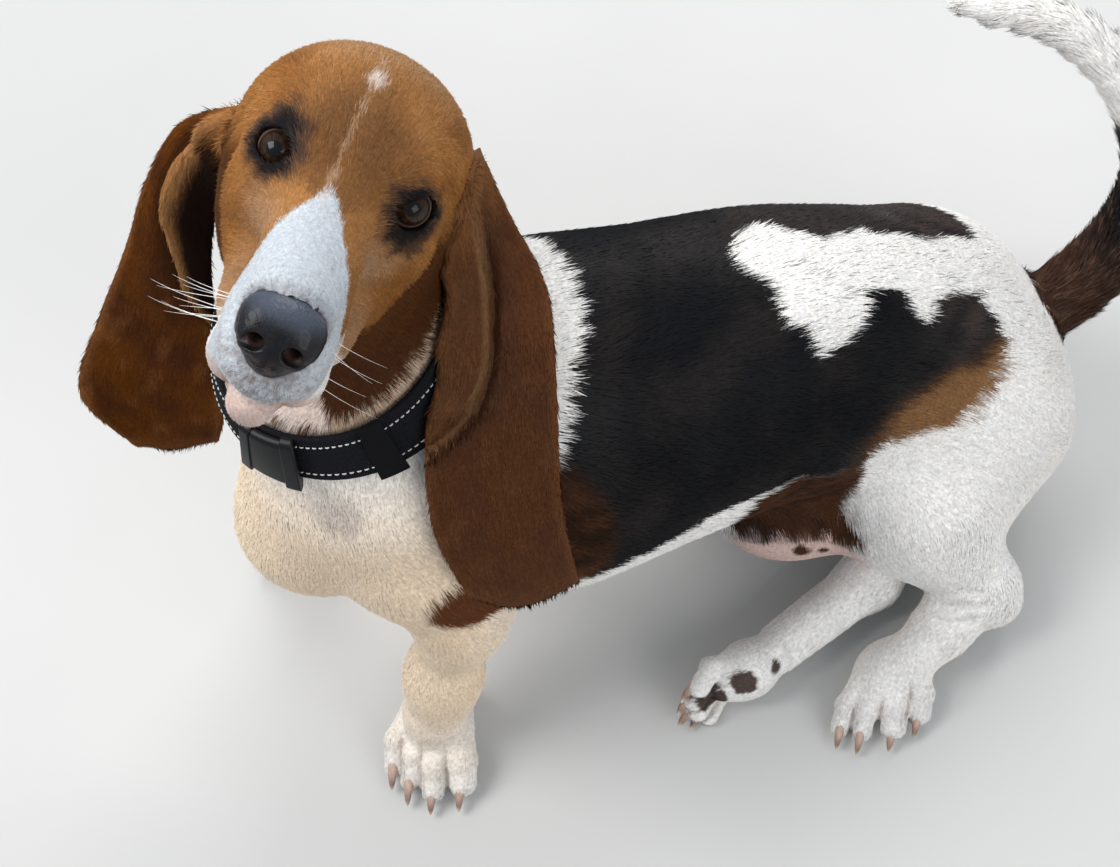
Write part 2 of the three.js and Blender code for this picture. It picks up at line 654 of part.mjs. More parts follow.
// The nose, set into the end of the muzzle, with a nostril on each side
const noseField = hollowed(
  joined([
    [ball(headFrame, [MUZZLE_TIP - 10, 0, -30], [13, 18, 12.5]), 0],
    [ball(headFrame, [MUZZLE_TIP - 10, 0, -44], [11.5, 11.5, 11.5]), 8],
    ...bothSides((s) => [[ball(headFrame, [MUZZLE_TIP - 9, s * 9, -36], [12.5, 9.5, 11.5]), 5]]),
  ]),
  [
    ...bothSides((s) => [
      limb(onHead(MUZZLE_TIP + 9, s * 8, -39), onHead(MUZZLE_TIP - 9, s * 9, -37), 5.4, 3),
      limb(onHead(MUZZLE_TIP + 1, s * 9, -40), onHead(MUZZLE_TIP - 7, s * 19, -44), 2.6, 2),
    ]),
    limb(onHead(MUZZLE_TIP + 7, 0, -42), onHead(MUZZLE_TIP + 3, 0, -58), 2.2, 2.4),
  ],
  1.5,
);
const noseBox = new THREE.Box3().setFromPoints([onHead(MUZZLE_TIP - 9, 0, -37)]).expandByScalar(34);
const NOSE_STEP = 1.5;
solids.nose = fleshNode(noseField, noseBox.min.toArray(), noseBox.max.toArray(), NOSE_STEP, 560, []);
solids.head = largest(solids.head.subtract(grown(solids.nose, GAP * 1.3)));

// Eyes, with the head cleared round them and its lids opened
for (const [name, s] of [["left", 1], ["right", -1]]) {
  const globe = new THREE.SphereGeometry(EYE_R, 14, 9).translate(...eyeAt(s));
  solids[`eye_${name}`] = solidOfGeometry(globe);
  const socket = grown(solids[`eye_${name}`], GAP * 1.3).add(lidSlit(s));
  solids.head = largest(solids.head.subtract(socket));
}

// An ear is a sheet between its back margin and its front one, folded along a ridge between them. Each
// line is a list of points from the root down.
const earLines = {
  left: {
    back: [
      [-81, 66, 400], [-74, 42, 376], [-69, 7, 348], [-78, -26, 344],
      [-92, -60, 324], [-104, -86, 290], [-106, -100, 218],
    ],
    ridge: [
      [-92, 40, 424], [-93, 28, 386], [-99, 6, 362], [-112, -24, 354],
      [-134, -52, 336], [-141, -82, 292], [-142, -100, 216],
    ],
    front: [
      [-104, 17, 424], [-111, 16, 398], [-126, 14, 366], [-137, -19, 358],
      [-157, -46, 338], [-170, -76, 298], [-166, -94, 246],
    ],
  },
  right: {
    back: [
      [-171, 116, 427], [-208, 132, 420], [-240, 140, 376], [-268, 138, 330],
      [-300, 134, 284], [-330, 118, 244], [-316, 96, 202],
    ],
    ridge: [
      [-180, 103, 440], [-206, 117, 426], [-229, 116, 394], [-240, 112, 344],
      [-262, 109, 290], [-288, 102, 240], [-298, 88, 198],
    ],
    front: [
      [-190, 90, 441], [-196, 101, 412], [-212, 104, 380], [-228, 100, 334],
      [-238, 90, 288], [-254, 76, 240], [-268, 74, 208],
    ],
  },
};
const EAR_ROWS = 18;
const EAR_COLUMNS = 8;
const fleshField = (x, y, z) => Math.min(headAndNeck(x, y, z), coreField(x, y, z));
function earSolid(lines) {
  const [back, ridge, front] = ["back", "ridge", "front"].map(
    (key) => new THREE.CatmullRomCurve3(lines[key].map((p) => v3(...p))),
  );
  const row = (t) => new THREE.CatmullRomCurve3([back, ridge, front].map((curve) => curve.getPoint(t)));
  const grid = [];
  for (let i = 0; i <= EAR_ROWS; i++) {
    const across = row(i / EAR_ROWS);
    for (let j = 0; j <= EAR_COLUMNS; j++) grid.push(across.getPoint(j / EAR_COLUMNS));
  }
  const at = (i, j) => grid[i * (EAR_COLUMNS + 1) + j];
  const clearance = EAR_THICK / 2 + 1.2;
  for (let j = 0; j <= EAR_COLUMNS; j++)
    for (let i = 3 + Math.round((3 * j) / EAR_COLUMNS); i <= EAR_ROWS; i++)
      for (let round = 0; round < 6; round++) {
        const p = at(i, j);
        const d = fleshField(p.x, p.y, p.z);
        if (d > clearance) break;
        const e = 1;
        const g = v3(
          fleshField(p.x + e, p.y, p.z) - d,
          fleshField(p.x, p.y + e, p.z) - d,
          fleshField(p.x, p.y, p.z + e) - d,
        ).normalize();
        p.addScaledVector(g, clearance - d + 0.2);
      }
  const points = [];
  const half = (i, j) => {
    const rim = Math.min(j, EAR_COLUMNS - j, EAR_ROWS - i) === 0;
    const root = Math.max(0, 1 - (4 * i) / EAR_ROWS) ** 2;
    return (rim ? EAR_THICK * 0.18 : EAR_THICK / 2) + EAR_ROOT * root;
  };
  for (const side of [1, -1])
    for (let i = 0; i <= EAR_ROWS; i++)
      for (let j = 0; j <= EAR_COLUMNS; j++) {
        const down = at(Math.min(i + 1, EAR_ROWS), j).clone().sub(at(Math.max(i - 1, 0), j));
        const along = at(i, Math.min(j + 1, EAR_COLUMNS)).clone().sub(at(i, Math.max(j - 1, 0)));
        const n = down.cross(along).normalize();
        points.push(at(i, j).clone().addScaledVector(n, side * half(i, j)).toArray());
      }
  const other = (EAR_ROWS + 1) * (EAR_COLUMNS + 1);
  const id = (i, j) => i * (EAR_COLUMNS + 1) + j;
  const triangles = [];
  const quad = (a, b, c, d) => triangles.push([a, b, c], [a, c, d]);
  for (let i = 0; i < EAR_ROWS; i++)
    for (let j = 0; j < EAR_COLUMNS; j++) {
      quad(id(i, j), id(i + 1, j), id(i + 1, j + 1), id(i, j + 1));
      quad(other + id(i, j), other + id(i, j + 1), other + id(i + 1, j + 1), other + id(i + 1, j));
    }
  for (let i = 0; i < EAR_ROWS; i++) {
    quad(id(i, 0), other + id(i, 0), other + id(i + 1, 0), id(i + 1, 0));
    const j = EAR_COLUMNS;
    quad(id(i, j), id(i + 1, j), other + id(i + 1, j), other + id(i, j));
  }
  for (let j = 0; j < EAR_COLUMNS; j++) {
    quad(id(0, j), id(0, j + 1), other + id(0, j + 1), other + id(0, j));
    const i = EAR_ROWS;
    quad(id(i, j), other + id(i, j), other + id(i, j + 1), id(i, j + 1));
  }
  return solidOf({ points, triangles });
}
// The collar lies in one plane round the neck, a little off the skin
const collarFrame = frameOf(v3(-184, 28, 342), v3(0.99, 0, 0.1), v3(0, 0.99, 0.05));
const collarReach = (angle, level) => {
  const way = v3(Math.cos(angle), Math.sin(angle), 0);
  let r = 110;
  for (let round = 0; round < 60; round++) {
    const p = v3(way.x * r, way.y * r, level).applyMatrix4(collarFrame);
    const d = fleshField(p.x, p.y, p.z);
    if (d < 0.05) break;
    r -= d * 0.7;
  }
  return r;
};
const COLLAR_STEPS = 56;
const COLLAR_EASE = 2; // between the webbing and the skin
function bandSolid(from, to, width, inner, thickness) {
  const around = to - from > 6.28;
  const steps = around ? COLLAR_STEPS : Math.max(3, Math.round(((to - from) / 6.28) * COLLAR_STEPS * 2));
  const points = [];
  for (let i = 0; i < (around ? steps : steps + 1); i++) {
    const angle = from + ((to - from) * i) / steps;
    const skin = [-1, 1].map((side) => collarReach(angle, (side * COLLAR_WIDTH) / 2));
    for (const [side, out] of [[-1, 0], [1, 0], [1, 1], [-1, 1]]) {
      const tilt = (skin[1] - skin[0]) / COLLAR_WIDTH;
      const r = (skin[0] + skin[1]) / 2 + (tilt * side * width) / 2 + COLLAR_EASE + inner + out * thickness;
      const p = v3(Math.cos(angle) * r, Math.sin(angle) * r, (side * width) / 2);
      points.push(p.applyMatrix4(collarFrame).toArray());
    }
  }
  const n = points.length;
  const triangles = [];
  for (let i = 0; i < steps; i++)
    for (let k = 0; k < 4; k++) {
      const a = 4 * i + k;
      const b = 4 * i + ((k + 1) % 4);
      const [c, d] = [(b + 4) % n, (a + 4) % n];
      triangles.push([a, b, c], [a, c, d]);
    }
  if (!around) {
    triangles.push([0, 3, 2], [0, 2, 1]);
    triangles.push([n - 4, n - 3, n - 2], [n - 4, n - 2, n - 1]);
  }
  return solidOf({ points, triangles });
}
const degrees = (a) => (a * Math.PI) / 180;
solids.collar_band = bandSolid(-Math.PI, Math.PI, COLLAR_WIDTH, 0, COLLAR_THICK);
for (const name of ["head", "neck", "torso"])
  solids.collar_band = largest(solids.collar_band.subtract(grown(solids[name], GAP)));
solids.collar_slide = bandSolid(degrees(-92), degrees(-80), COLLAR_WIDTH + 5, COLLAR_THICK + GAP, 3);
solids.collar_buckle = bandSolid(degrees(-152), degrees(-124), COLLAR_WIDTH + 6, COLLAR_THICK + GAP, 7);

for (const side of ["left", "right"]) {
  let ear = earSolid(earLines[side]);
  for (const name of ["head", "neck", "torso", "collar_band"])
    ear = ear.subtract(grown(solids[name], GAP * 1.5));
  solids[`ear_${side}`] = largest(ear);
}

// The exported scene
function material(name, color, roughness, metalness = 0) {
  const made = new THREE.MeshStandardMaterial({ color, roughness, metalness });
  made.name = name;
  return made;
}
const finishes = {
  white: material("white_coat", 0xe9e2d6, 0.85),
  black: material("black_coat", 0x1b1a1d, 0.8),
  tan: material("tan_coat", 0x7d4018, 0.8),
  eye: material("eye", 0x22130c, 0.1),
  nose: material("nose", 0x17171b, 0.45),
  collar: material("collar_webbing", 0x15151a, 0.9),
  plastic: material("collar_plastic", 0x2a2a2c, 0.4),
};
const finishOf = {
  torso: "black",
  head: "tan",
  ear_left: "tan",
  ear_right: "tan",
  eye_left: "eye",
  eye_right: "eye",
  nose: "nose",
  tail_root: "black",
  collar_band: "collar",
  collar_slide: "plastic",
  collar_buckle: "plastic",
};

const everything = new THREE.Box3();
for (const solid of Object.values(solids)) {
  const { min, max } = solid.boundingBox();
  everything.union(new THREE.Box3(v3(...min), v3(...max)));
}
const middle = everything.getCenter(v3(0, 0, 0));
const dog = new THREE.Group();
for (const [name, solid] of Object.entries(solids)) {
  const { points, triangles } = netOfSolid(solid);
  const geometry = new THREE.BufferGeometry();
  geometry.setAttribute("position", new THREE.Float32BufferAttribute(points.flat(), 3));
  geometry.translate(-middle.x, -middle.y, 0);
  geometry.setIndex(triangles.flat());
  geometry.computeVertexNormals();
  const mesh = new THREE.Mesh(geometry, finishes[finishOf[name] ?? "white"].clone());
  mesh.name = name;
  dog.add(mesh);
}

export default dog;
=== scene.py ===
# A basset hound sitting on its right hip, looking up over its left side, with a nylon collar.
# Shapes are worked out in millimetres in a frame of their own, and moved into the row frame when a mesh
# is made. The flesh is one smooth field of distances, summed from balls and tapered limbs.
import math
import bpy
import numpy as np
from mathutils import Matrix, Vector


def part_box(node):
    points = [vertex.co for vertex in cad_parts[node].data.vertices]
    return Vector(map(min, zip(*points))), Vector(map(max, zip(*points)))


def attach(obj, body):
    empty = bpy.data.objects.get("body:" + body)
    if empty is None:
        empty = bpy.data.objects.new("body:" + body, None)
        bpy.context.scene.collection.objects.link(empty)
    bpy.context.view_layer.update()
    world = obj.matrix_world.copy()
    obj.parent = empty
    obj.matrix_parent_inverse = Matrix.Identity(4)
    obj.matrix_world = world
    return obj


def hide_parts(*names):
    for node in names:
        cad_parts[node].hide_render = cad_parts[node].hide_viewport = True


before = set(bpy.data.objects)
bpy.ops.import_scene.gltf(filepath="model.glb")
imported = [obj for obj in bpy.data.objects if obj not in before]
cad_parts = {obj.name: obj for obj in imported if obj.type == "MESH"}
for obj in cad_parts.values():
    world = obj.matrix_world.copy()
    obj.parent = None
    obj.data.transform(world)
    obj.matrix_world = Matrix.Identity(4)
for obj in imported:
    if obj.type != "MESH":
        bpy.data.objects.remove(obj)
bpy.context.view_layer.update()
F = np.float32

# Driving dimensions, in millimetres
WITHERS = 336
CHEST_FRONT = -283
RUMP = 246
RIB_HALF_WIDTH = 98
BRISKET = 102
NECK_R = 57
EYE_R = 11.5
EYE_SPREAD = 31.5
MUZZLE_TIP = 112
EAR_THICK = 6
EAR_ROOT = 5
COLLAR_WIDTH = 25
COLLAR_THICK = 3.0
COLLAR_EASE = 2
CLAW_LENGTH = 18
COAT_DEPTH = 1.3
HEAD = (-149, 28, 468)
NOSE_WAY = (-0.254, -0.732, 0.632)
LEFT_WAY = (0.709, -0.585, -0.393)


def vec(*c):
    return np.array(c, float)


def unit(v):
    v = np.asarray(v, float)
    return v / np.linalg.norm(v)


def units(V):
    return V / np.maximum(np.linalg.norm(V, axis=-1, keepdims=True), 1e-9)


def length(V):
    return np.sqrt(np.einsum("...i,...i->...", V, V))


def rise(low, high, x):
    """0 where x is at low and 1 where it is at high, smoothly."""
    t = np.clip((x - low) / (high - low), 0, 1)
    return t * t * (3 - 2 * t)


class Axes:
    """A frame squared up from a main way and a second one."""

    def __init__(self, origin, forward, side):
        f = unit(forward)
        s = unit(np.asarray(side, float) - f * np.dot(side, f))
        self.origin = np.asarray(origin, float)
        self.axes = np.array([f, s, np.cross(f, s)])

    def out(self, *p):
        p = np.asarray(p[0] if len(p) == 1 else p, float)
        return self.origin + p @ self.axes

    def into(self, P):
        return (P - self.origin.astype(P.dtype)) @ self.axes.T.astype(P.dtype)

    def way(self, *w):
        return vec(*w) @ self.axes


head_axes = Axes(HEAD, NOSE_WAY, LEFT_WAY)
upright = Axes((0, 0, 0), (1, 0, 0), (0, 1, 0))
collar_axes = Axes((-184, 28, 342), (0.99, 0, 0.1), (0, 0.99, 0.05))
on_head = head_axes.out


def eye_at(s):
    return on_head(-9, s * EYE_SPREAD, 1)


low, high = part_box("eye_left")
MIDDLE = eye_at(1) - 500 * (np.array(low) + np.array(high))
MIDDLE[2] = 0


# Fields of distance. Each takes an array of points, and has a ball round it so that far ones are skipped.
class Field:
    def __init__(self, f, centre=None, reach=1e9):
        self.f = f
        self.centre = centre
        self.reach = reach

    def __call__(self, P):
        return self.f(P)


def ball(axes, centre, radii):
    """A ball with three radii, in a frame."""
    turn = axes.axes.T.astype(F)
    r = np.array(radii, F)
    origin = axes.out(*centre).astype(F)

    def f(P):
        q = ((P - origin) @ turn) / r
        k0 = length(q)
        k1 = length(q / r)
        return k0 * (k0 - 1) / np.maximum(k1, 1e-7)

    return Field(f, origin, max(radii))


def limb(a, b, ra, rb):
    """A straight limb with round ends that tapers from one radius to another."""
    a = np.asarray(a, F)
    ab = np.asarray(b, F) - a
    size = float(ab @ ab)

    def f(P):
        q = P - a
        t = np.clip(q @ ab / size, 0, 1)
        return length(q - t[:, None] * ab) - (ra + (rb - ra) * t)

    return Field(f, a + ab / 2, math.sqrt(size) / 2 + max(ra, rb))


def blended(a, b, k):
    """Two fields' values as one, with a seam rounded over about k."""
    h = np.maximum(k - np.abs(a - b), 0) / k
    return np.minimum(a, b) - h * h * k / 4


# Forms farther than this beyond their own reach are skipped.
FAR = 70


def joined(parts):
    """Fields summed in order, each with how widely it blends into those before it. 0 leaves a sharp seam."""

    def f(P):
        middle = (P.min(0) + P.max(0)) / 2
        half = length(P.max(0) - P.min(0)) / 2
        d = None
        for field, k in parts:
            if field.centre is not None and length(field.centre - middle) - half - field.reach > FAR:
                continue
            new = field(P)
            d = new if d is None else blended(d, new, k) if k else np.minimum(d, new)
        if d is None:
            d = np.full(len(P), FAR, F) + max(0, half)
        return d

    return Field(f)


def hollowed(field, cuts, k):
    """A field with others cut out of it."""

    def f(P):
        d = field(P)
        for cut in cuts:
            d = -blended(-d, cut(P), k)
        return d

    return Field(f)


def in_blocks(field, P, side=45):
    """The field at many points, taken in blocks so that far forms are skipped."""
    P = np.ascontiguousarray(P, F)
    cell = np.floor(P / side).astype(np.int64)
    key = (cell[:, 0] * 4096 + cell[:, 1]) * 4096 + cell[:, 2]
    order = np.argsort(key, kind="stable")
    cuts = np.flatnonzero(np.diff(key[order])) + 1
    d = np.empty(len(P), F)
    for part in np.split(order, cuts):
        d[part] = field(P[part])
    return d


SLOPE_STEP = 0.4


def slope(field, P):
    """The field at many points, and how it changes along each axis."""
    d = in_blocks(field, P)
    steps = F(SLOPE_STEP) * np.eye(3, dtype=F)
    return d, np.stack([(in_blocks(field, P + step) - d) / SLOPE_STEP for step in steps], 1)


# The dog's forms. Left is 1 and right is -1 wherever a side is given as a number.
both = (1, -1)


def both_sides(make):
    return [item for s in both for item in make(s)]


def balls(axes, rows):
    """Balls from rows of a centre, the radii and a blend."""
    return [(ball(axes, centre, radii), k) for centre, radii, k in rows]


def chain(stops, k):
    """Limbs from stop to stop. A stop is a place and a radius."""
    return [(limb(a[0], b[0], a[1], b[1]), k) for a, b in zip(stops, stops[1:])]


trunk = balls(
    upright,
    [
        ((CHEST_FRONT + 48, 12, 196), (42, 46, 50), 34),
        ((-170, 6, 226), (66, 74, 86), 40),
        ((-85, 2, (WITHERS + BRISKET) / 2), (118, RIB_HALF_WIDTH, (WITHERS - BRISKET) / 2), 50),
        ((30, 0, 196), (105, 88, 98), 50),
        ((118, 0, 150), (88, 82, 88), 50),
        ((178, 4, 98), (RUMP - 178, 84, 92), 45),
        ((66, -52, 84), (66, 44, 44), 26),
    ],
)
neck = [
    (limb((-183, 12, 262), (-180, 30, 322), NECK_R + 8, NECK_R), 40),
    (limb((-180, 30, 322), (-150, 72, 390), NECK_R, NECK_R - 6), 30),
]
skull = [
    *balls(head_axes, [((-64, 0, -4), (67, 60, 53), 20), ((-22, 0, 0), (36, 43, 31), 20)]),
    *balls(head_axes, [((-120, 0, 6), (16, 14, 14), 26)]),
    *both_sides(lambda s: balls(head_axes, [((-42, s * 32, -26), (40, 22, 30), 20)])),
    *both_sides(lambda s: balls(head_axes, [((-52, s * 29, -50), (34, 19, 28), 18)])),
    *both_sides(lambda s: [(limb(on_head(-26, s * 25, 16), on_head(-4, s * 24, 14), 13, 8), 12)]),
    (limb(on_head(0, 0, -20), on_head(90, 0, -30), 28, 21), 24),
    (ball(head_axes, (95, 0, -56), (14, 18, 16)), 10),
    *both_sides(
        lambda s: [
            *chain([(on_head(86, s * 11, -58), 12), (on_head(58, s * 13, -71), 14)], 8),
            *chain([(on_head(58, s * 13, -71), 14), (on_head(12, s * 18, -68), 13)], 8),
            *chain([(on_head(12, s * 18, -68), 13), (on_head(-22, s * 27, -50), 12)], 12),
            (ball(head_axes, (60, s * 11, -48), (36, 17, 22)), 10),
        ]
    ),
]
throat = (limb(on_head(-70, 0, -44), on_head(-20, 0, -62), 42, 26), 24)
jaw = joined(
    [
        (limb(on_head(-40, 0, -72), on_head(50, 0, -82), 24, 15), 0),
        (limb(on_head(50, 0, -82), on_head(82, 0, -80), 15, 12), 10),
    ]
)


def gaze(s):
    """An eye's own frame, looking ahead."""
    return Axes(eye_at(s), head_axes.way(0.93, s * 0.2, 0.18), head_axes.way(-0.2, s * 0.93, 0))


lid_balls = both_sides(lambda s: balls(gaze(s), [((0, 0, 0), (14.5, 15.5, 14.5), 8)]))


def lid_slit(s):
    """The opening between the lids: what lies in both of two eggs."""
    above = ball(gaze(s), (10, 0, -6), (12, 12.5, 11.5))
    below = ball(gaze(s), (10, 0, 1), (12, 11, 10))
    return Field(lambda P: np.maximum(above(P), below(P)))


lid_slits = [lid_slit(s) for s in both]
eye_clear = [limb(eye_at(s), eye_at(s) + vec(0, 0, 0.01), EYE_R - 1.0, EYE_R - 1.0) for s in both]
face = hollowed(joined([*skull, throat, *lid_balls]), lid_slits, 2)
head_field = hollowed(Field(lambda P: np.minimum(face(P), jaw(P))), eye_clear, 0.5)


fore_stops = {
    "left": [((-182, -48, 206), 36), ((-174, -62, 146), 24), ((-198, -68, 76), 20), ((-212, -79, 44), 20)],
    "right": [((-188, 64, 206), 38), ((-180, 78, 146), 26), ((-212, 82, 76), 21), ((-226, 84, 44), 21)],
}
thigh_stops = {
    "left": [((172, -48, 96), 68), ((120, -92, 98), 46)],
    "right": [((176, 46, 76), 66), ((92, 62, 56), 48)],
}
shank_stops = {
    "left": [((118, -96, 94), 44), ((141, -140, 44), 24), ((113, -153, 32), 18), ((82, -164, 26), 18)],
    "right": [((108, 52, 46), 38), ((124, -78, 32), 22), ((84, -104, 29), 19), ((14, -122, 28), 17)],
}
heels = {
    "left": [
        (limb((142, -142, 44), (149, -152, 33), 21, 16), 12),
        (limb((180, -60, 72), (146, -122, 50), 50, 14), 14),
    ],
    "right": [(limb((124, -78, 32), (133, -90, 27), 20, 15), 12)],
}
paw_axes = {
    "fore_left": Axes((-219, -84, 19), (-0.5, -0.866, -0.08), (0.866, -0.5, 0)),
    "fore_right": Axes((-239, 88, 19), (-0.94, 0.34, -0.08), (-0.34, -0.94, 0)),
    "hind_left": Axes((58, -175, 17), (-0.6, -0.8, -0.08), (0.8, -0.6, 0)),
    "hind_right": Axes((-28, -129, 27), (-0.98, -0.06, -0.19), (-0.2, 0.25, 0.95)),
}
paw_size = {"fore_left": 1.0, "fore_right": 1.0, "hind_left": 0.88, "hind_right": 0.88}
# Each toe: how far its tip reaches, how far it lies to the side, and its radius.
TOES = {
    "fore_left": ((19, -25, 9), (27, -13, 9.6), (33, 3, 11.5), (28, 21, 11.5)),
    "fore_right": ((27, -24, 9.6), (33, -8, 9.6), (33, 8, 9.6), (27, 24, 9.6)),
    "hind_left": ((28, -25, 9), (28, -10, 9.6), (22, 12, 12), (7, 28, 11)),
    "hind_right": ((28, -20, 9), (33, -8, 9.6), (30, 7, 9.6), (21, 20, 9)),
}
PAW_TOP = {"fore_left": 18, "fore_right": 18, "hind_left": 4, "hind_right": 2}


def paw(name):
    """A paw's forms: its pad and back, the wrist, and two limbs for each toe."""
    axes = paw_axes[name]
    size = paw_size[name]

    def at(x, y, z):
        return axes.out(x * size, y * size, z * size)

    def some(centre, radii):
        return ball(axes, np.array(centre) * size, np.array(radii) * size)

    parts = [(some((-12, 0, -2), (27, 24, 17)), 16), (some((-12, 0, -10), (16, 17, 9)), 8)]
    parts.append((limb(at(-14, 0, PAW_TOP[name]), at(8, 0, 2), 18 * size, 13 * size), 14))
    for reach, side, thick in TOES[name]:
        knuckle = at(reach - 13, side * 0.94, 4)
        parts.append((limb(at(reach - 34, side * 0.67, 1), knuckle, thick * size, thick * size), 4))
        tip = at(reach + 10 - thick, side, thick - 16)
        parts.append((limb(knuckle, tip, thick * size, 0.94 * thick * size), 2.5))
    return parts


def curve_through(points):
    """A centripetal curve through points, as a function of t from 0 to 1 that is even in the points."""
    P = np.array(points, float)
    ends = (2 * P[0] - P[1], 2 * P[-1] - P[-2])
    Q = np.vstack([ends[0], P, ends[1]])

    def at(t):
        t = np.atleast_1d(np.asarray(t, float)) * (len(P) - 1)
        i = np.minimum(t.astype(int), len(P) - 2)
        w = (t - i)[:, None]
        p = [Q[i + n] for n in range(4)]
        gaps = [np.sqrt(np.maximum(length(p[n + 1] - p[n]), 1e-6))[:, None] for n in range(3)]
        t1 = (p[1] - p[0]) / gaps[0] - (p[2] - p[0]) / (gaps[0] + gaps[1]) + (p[2] - p[1]) / gaps[1]
        t2 = (p[2] - p[1]) / gaps[1] - (p[3] - p[1]) / (gaps[1] + gaps[2]) + (p[3] - p[2]) / gaps[2]
        t1 = t1 * gaps[1]
        t2 = t2 * gaps[1]
        c2 = -3 * p[1] + 3 * p[2] - 2 * t1 - t2
        c3 = 2 * p[1] - 2 * p[2] + t1 + t2
        return p[1] + t1 * w + c2 * w**2 + c3 * w**3

    return at


def even_along(curve, n):
    """n places on a curve, the same distance apart."""
    fine = curve(np.linspace(0, 1, 600))
    run = np.concatenate([[0], np.cumsum(length(np.diff(fine, axis=0)))])
    want = np.linspace(0, run[-1], n)
    return np.stack([np.interp(want, run, fine[:, m]) for m in range(3)], 1)


TAIL_STEPS = 18
TAIL_STOPS = [
    (216, -4, 96), (258, -10, 122), (292, -10, 166), (306, -2, 224), (294, 26, 282), (258, 58, 322),
    (212, 76, 342),
]
tail_line = even_along(curve_through(TAIL_STOPS), TAIL_STEPS + 1)


def tail_radius(i):
    """The tail's radius at one of its steps."""
    return 7 + 16 * (1 - i / TAIL_STEPS) ** 0.75


tail = [
    (limb(tail_line[i], tail_line[i + 1], tail_radius(i), tail_radius(i + 1)), 6 if i else 22)
    for i in range(TAIL_STEPS)
]
core = joined(
    [
        *trunk,
        *neck,
        *chain(fore_stops["left"], 26),
        *paw("fore_left"),
        *chain(fore_stops["right"], 26),
        *paw("fore_right"),
        *chain(thigh_stops["left"], 34),
        *chain(thigh_stops["right"], 34),
        *tail,
    ]
)
hind_left = joined([*chain(shank_stops["left"], 14), *heels["left"], *paw("hind_left")])
hind_right = joined([*chain(shank_stops["right"], 14), *heels["right"], *paw("hind_right")])


HEAD_BLEND = 26
LEG_BLEND = 20


def flesh_at(P):
    """The whole body. The head and the hind legs are worked out only near them."""
    body = d = core(P)
    low = P.min(0)
    high = P.max(0)
    if high[2] > 300 and low[0] < 10:
        d = blended(body, head_field(P), HEAD_BLEND)
    if low[2] < 190 and high[0] > -70 and low[1] < 130:
        for leg in (hind_left, hind_right):
            d = np.minimum(d, blended(body, leg(P), LEG_BLEND))
    return d


flesh = Field(flesh_at)


# From a field to a mesh of triangles
def net_of(field, low, high, step, level):
    """A net of quads round a field at one level, with a point in each cell that the surface crosses."""
    low = np.asarray(low, float)
    n = np.ceil((np.asarray(high) - low) / (4 * step)).astype(int)
    coarse = np.indices(n).reshape(3, -1).T
    d = in_blocks(field, low + (coarse + 0.5) * 4 * step, 90) - level
    close = coarse[np.abs(d) < 4 * step * 1.25]
    size = 4 * n + 1
    value = np.full(size, 1e3, F)
    value[:-1, :-1, :-1] = np.where(d < 0, -1e3, 1e3).reshape(n).repeat(4, 0).repeat(4, 1).repeat(4, 2)
    local = np.indices((5, 5, 5)).reshape(3, -1).T
    keys = np.unique(np.ravel_multi_index(tuple((4 * close[:, None] + local).reshape(-1, 3).T), size))
    where = np.stack(np.unravel_index(keys, size), 1)
    value.ravel()[keys] = in_blocks(field, low + where * step) - level
    inside = (value < 0).astype(np.uint8)
    count = np.zeros(size - 1, np.uint8)
    for a, b, c in np.ndindex(2, 2, 2):
        count += inside[a : size[0] - 1 + a, b : size[1] - 1 + b, c : size[2] - 1 + c]
    cells = np.argwhere((count > 0) & (count < 8))
    number = np.full(size - 1, -1, np.int64)
    number[tuple(cells.T)] = np.arange(len(cells))
    total = np.zeros((len(cells), 3))
    crossings = np.zeros(len(cells))
    for axis, u, v in np.ndindex(3, 2, 2):
        start = np.insert([u, v], axis, 0)
        va = value[tuple((cells + start).T)]
        vb = value[tuple((cells + np.insert([u, v], axis, 1)).T)]
        cut = (va < 0) != (vb < 0)
        point = np.tile(start.astype(float), (len(cells), 1))
        point[:, axis] = np.where(cut, va / np.where(cut, va - vb, 1), 0)
        total[cut] += point[cut]
        crossings[cut] += 1
    quads = []
    for axis in range(3):
        spans = [slice(1, end - 1) for end in size]
        spans[axis] = slice(0, size[axis] - 1)
        ahead = list(spans)
        ahead[axis] = slice(1, size[axis])
        a = inside[tuple(spans)]
        b = inside[tuple(ahead)]
        edge = np.argwhere(a != b)
        into = a[tuple(edge.T)] > b[tuple(edge.T)]
        edge = edge + [span.start for span in spans]
        ways = ((0, 0), (-1, 0), (-1, -1), (0, -1))
        ring = np.stack([number[tuple((edge + np.insert(way, axis, 0)).T)] for way in ways], 1)
        back = into if axis == 1 else ~into
        ring[back] = ring[back][:, ::-1]
        quads.append(ring)
    quads = np.vstack(quads)
    return low + (cells + total / crossings[:, None]) * step, quads[(quads >= 0).all(1)]


def triangles_of(P, Q):
    """Quads cut along their shorter diagonals."""
    short = length(P[Q[:, 0]] - P[Q[:, 2]]) < length(P[Q[:, 1]] - P[Q[:, 3]])
    return np.vstack(
        [Q[short][:, [0, 1, 2]], Q[short][:, [0, 2, 3]], Q[~short][:, [0, 1, 3]], Q[~short][:, [1, 2, 3]]]
    )


def edges_of(T):
    E = np.sort(T[:, [[0, 1], [1, 2], [2, 0]]].reshape(-1, 2), axis=1)
    return np.unique(E, axis=0, return_inverse=True)


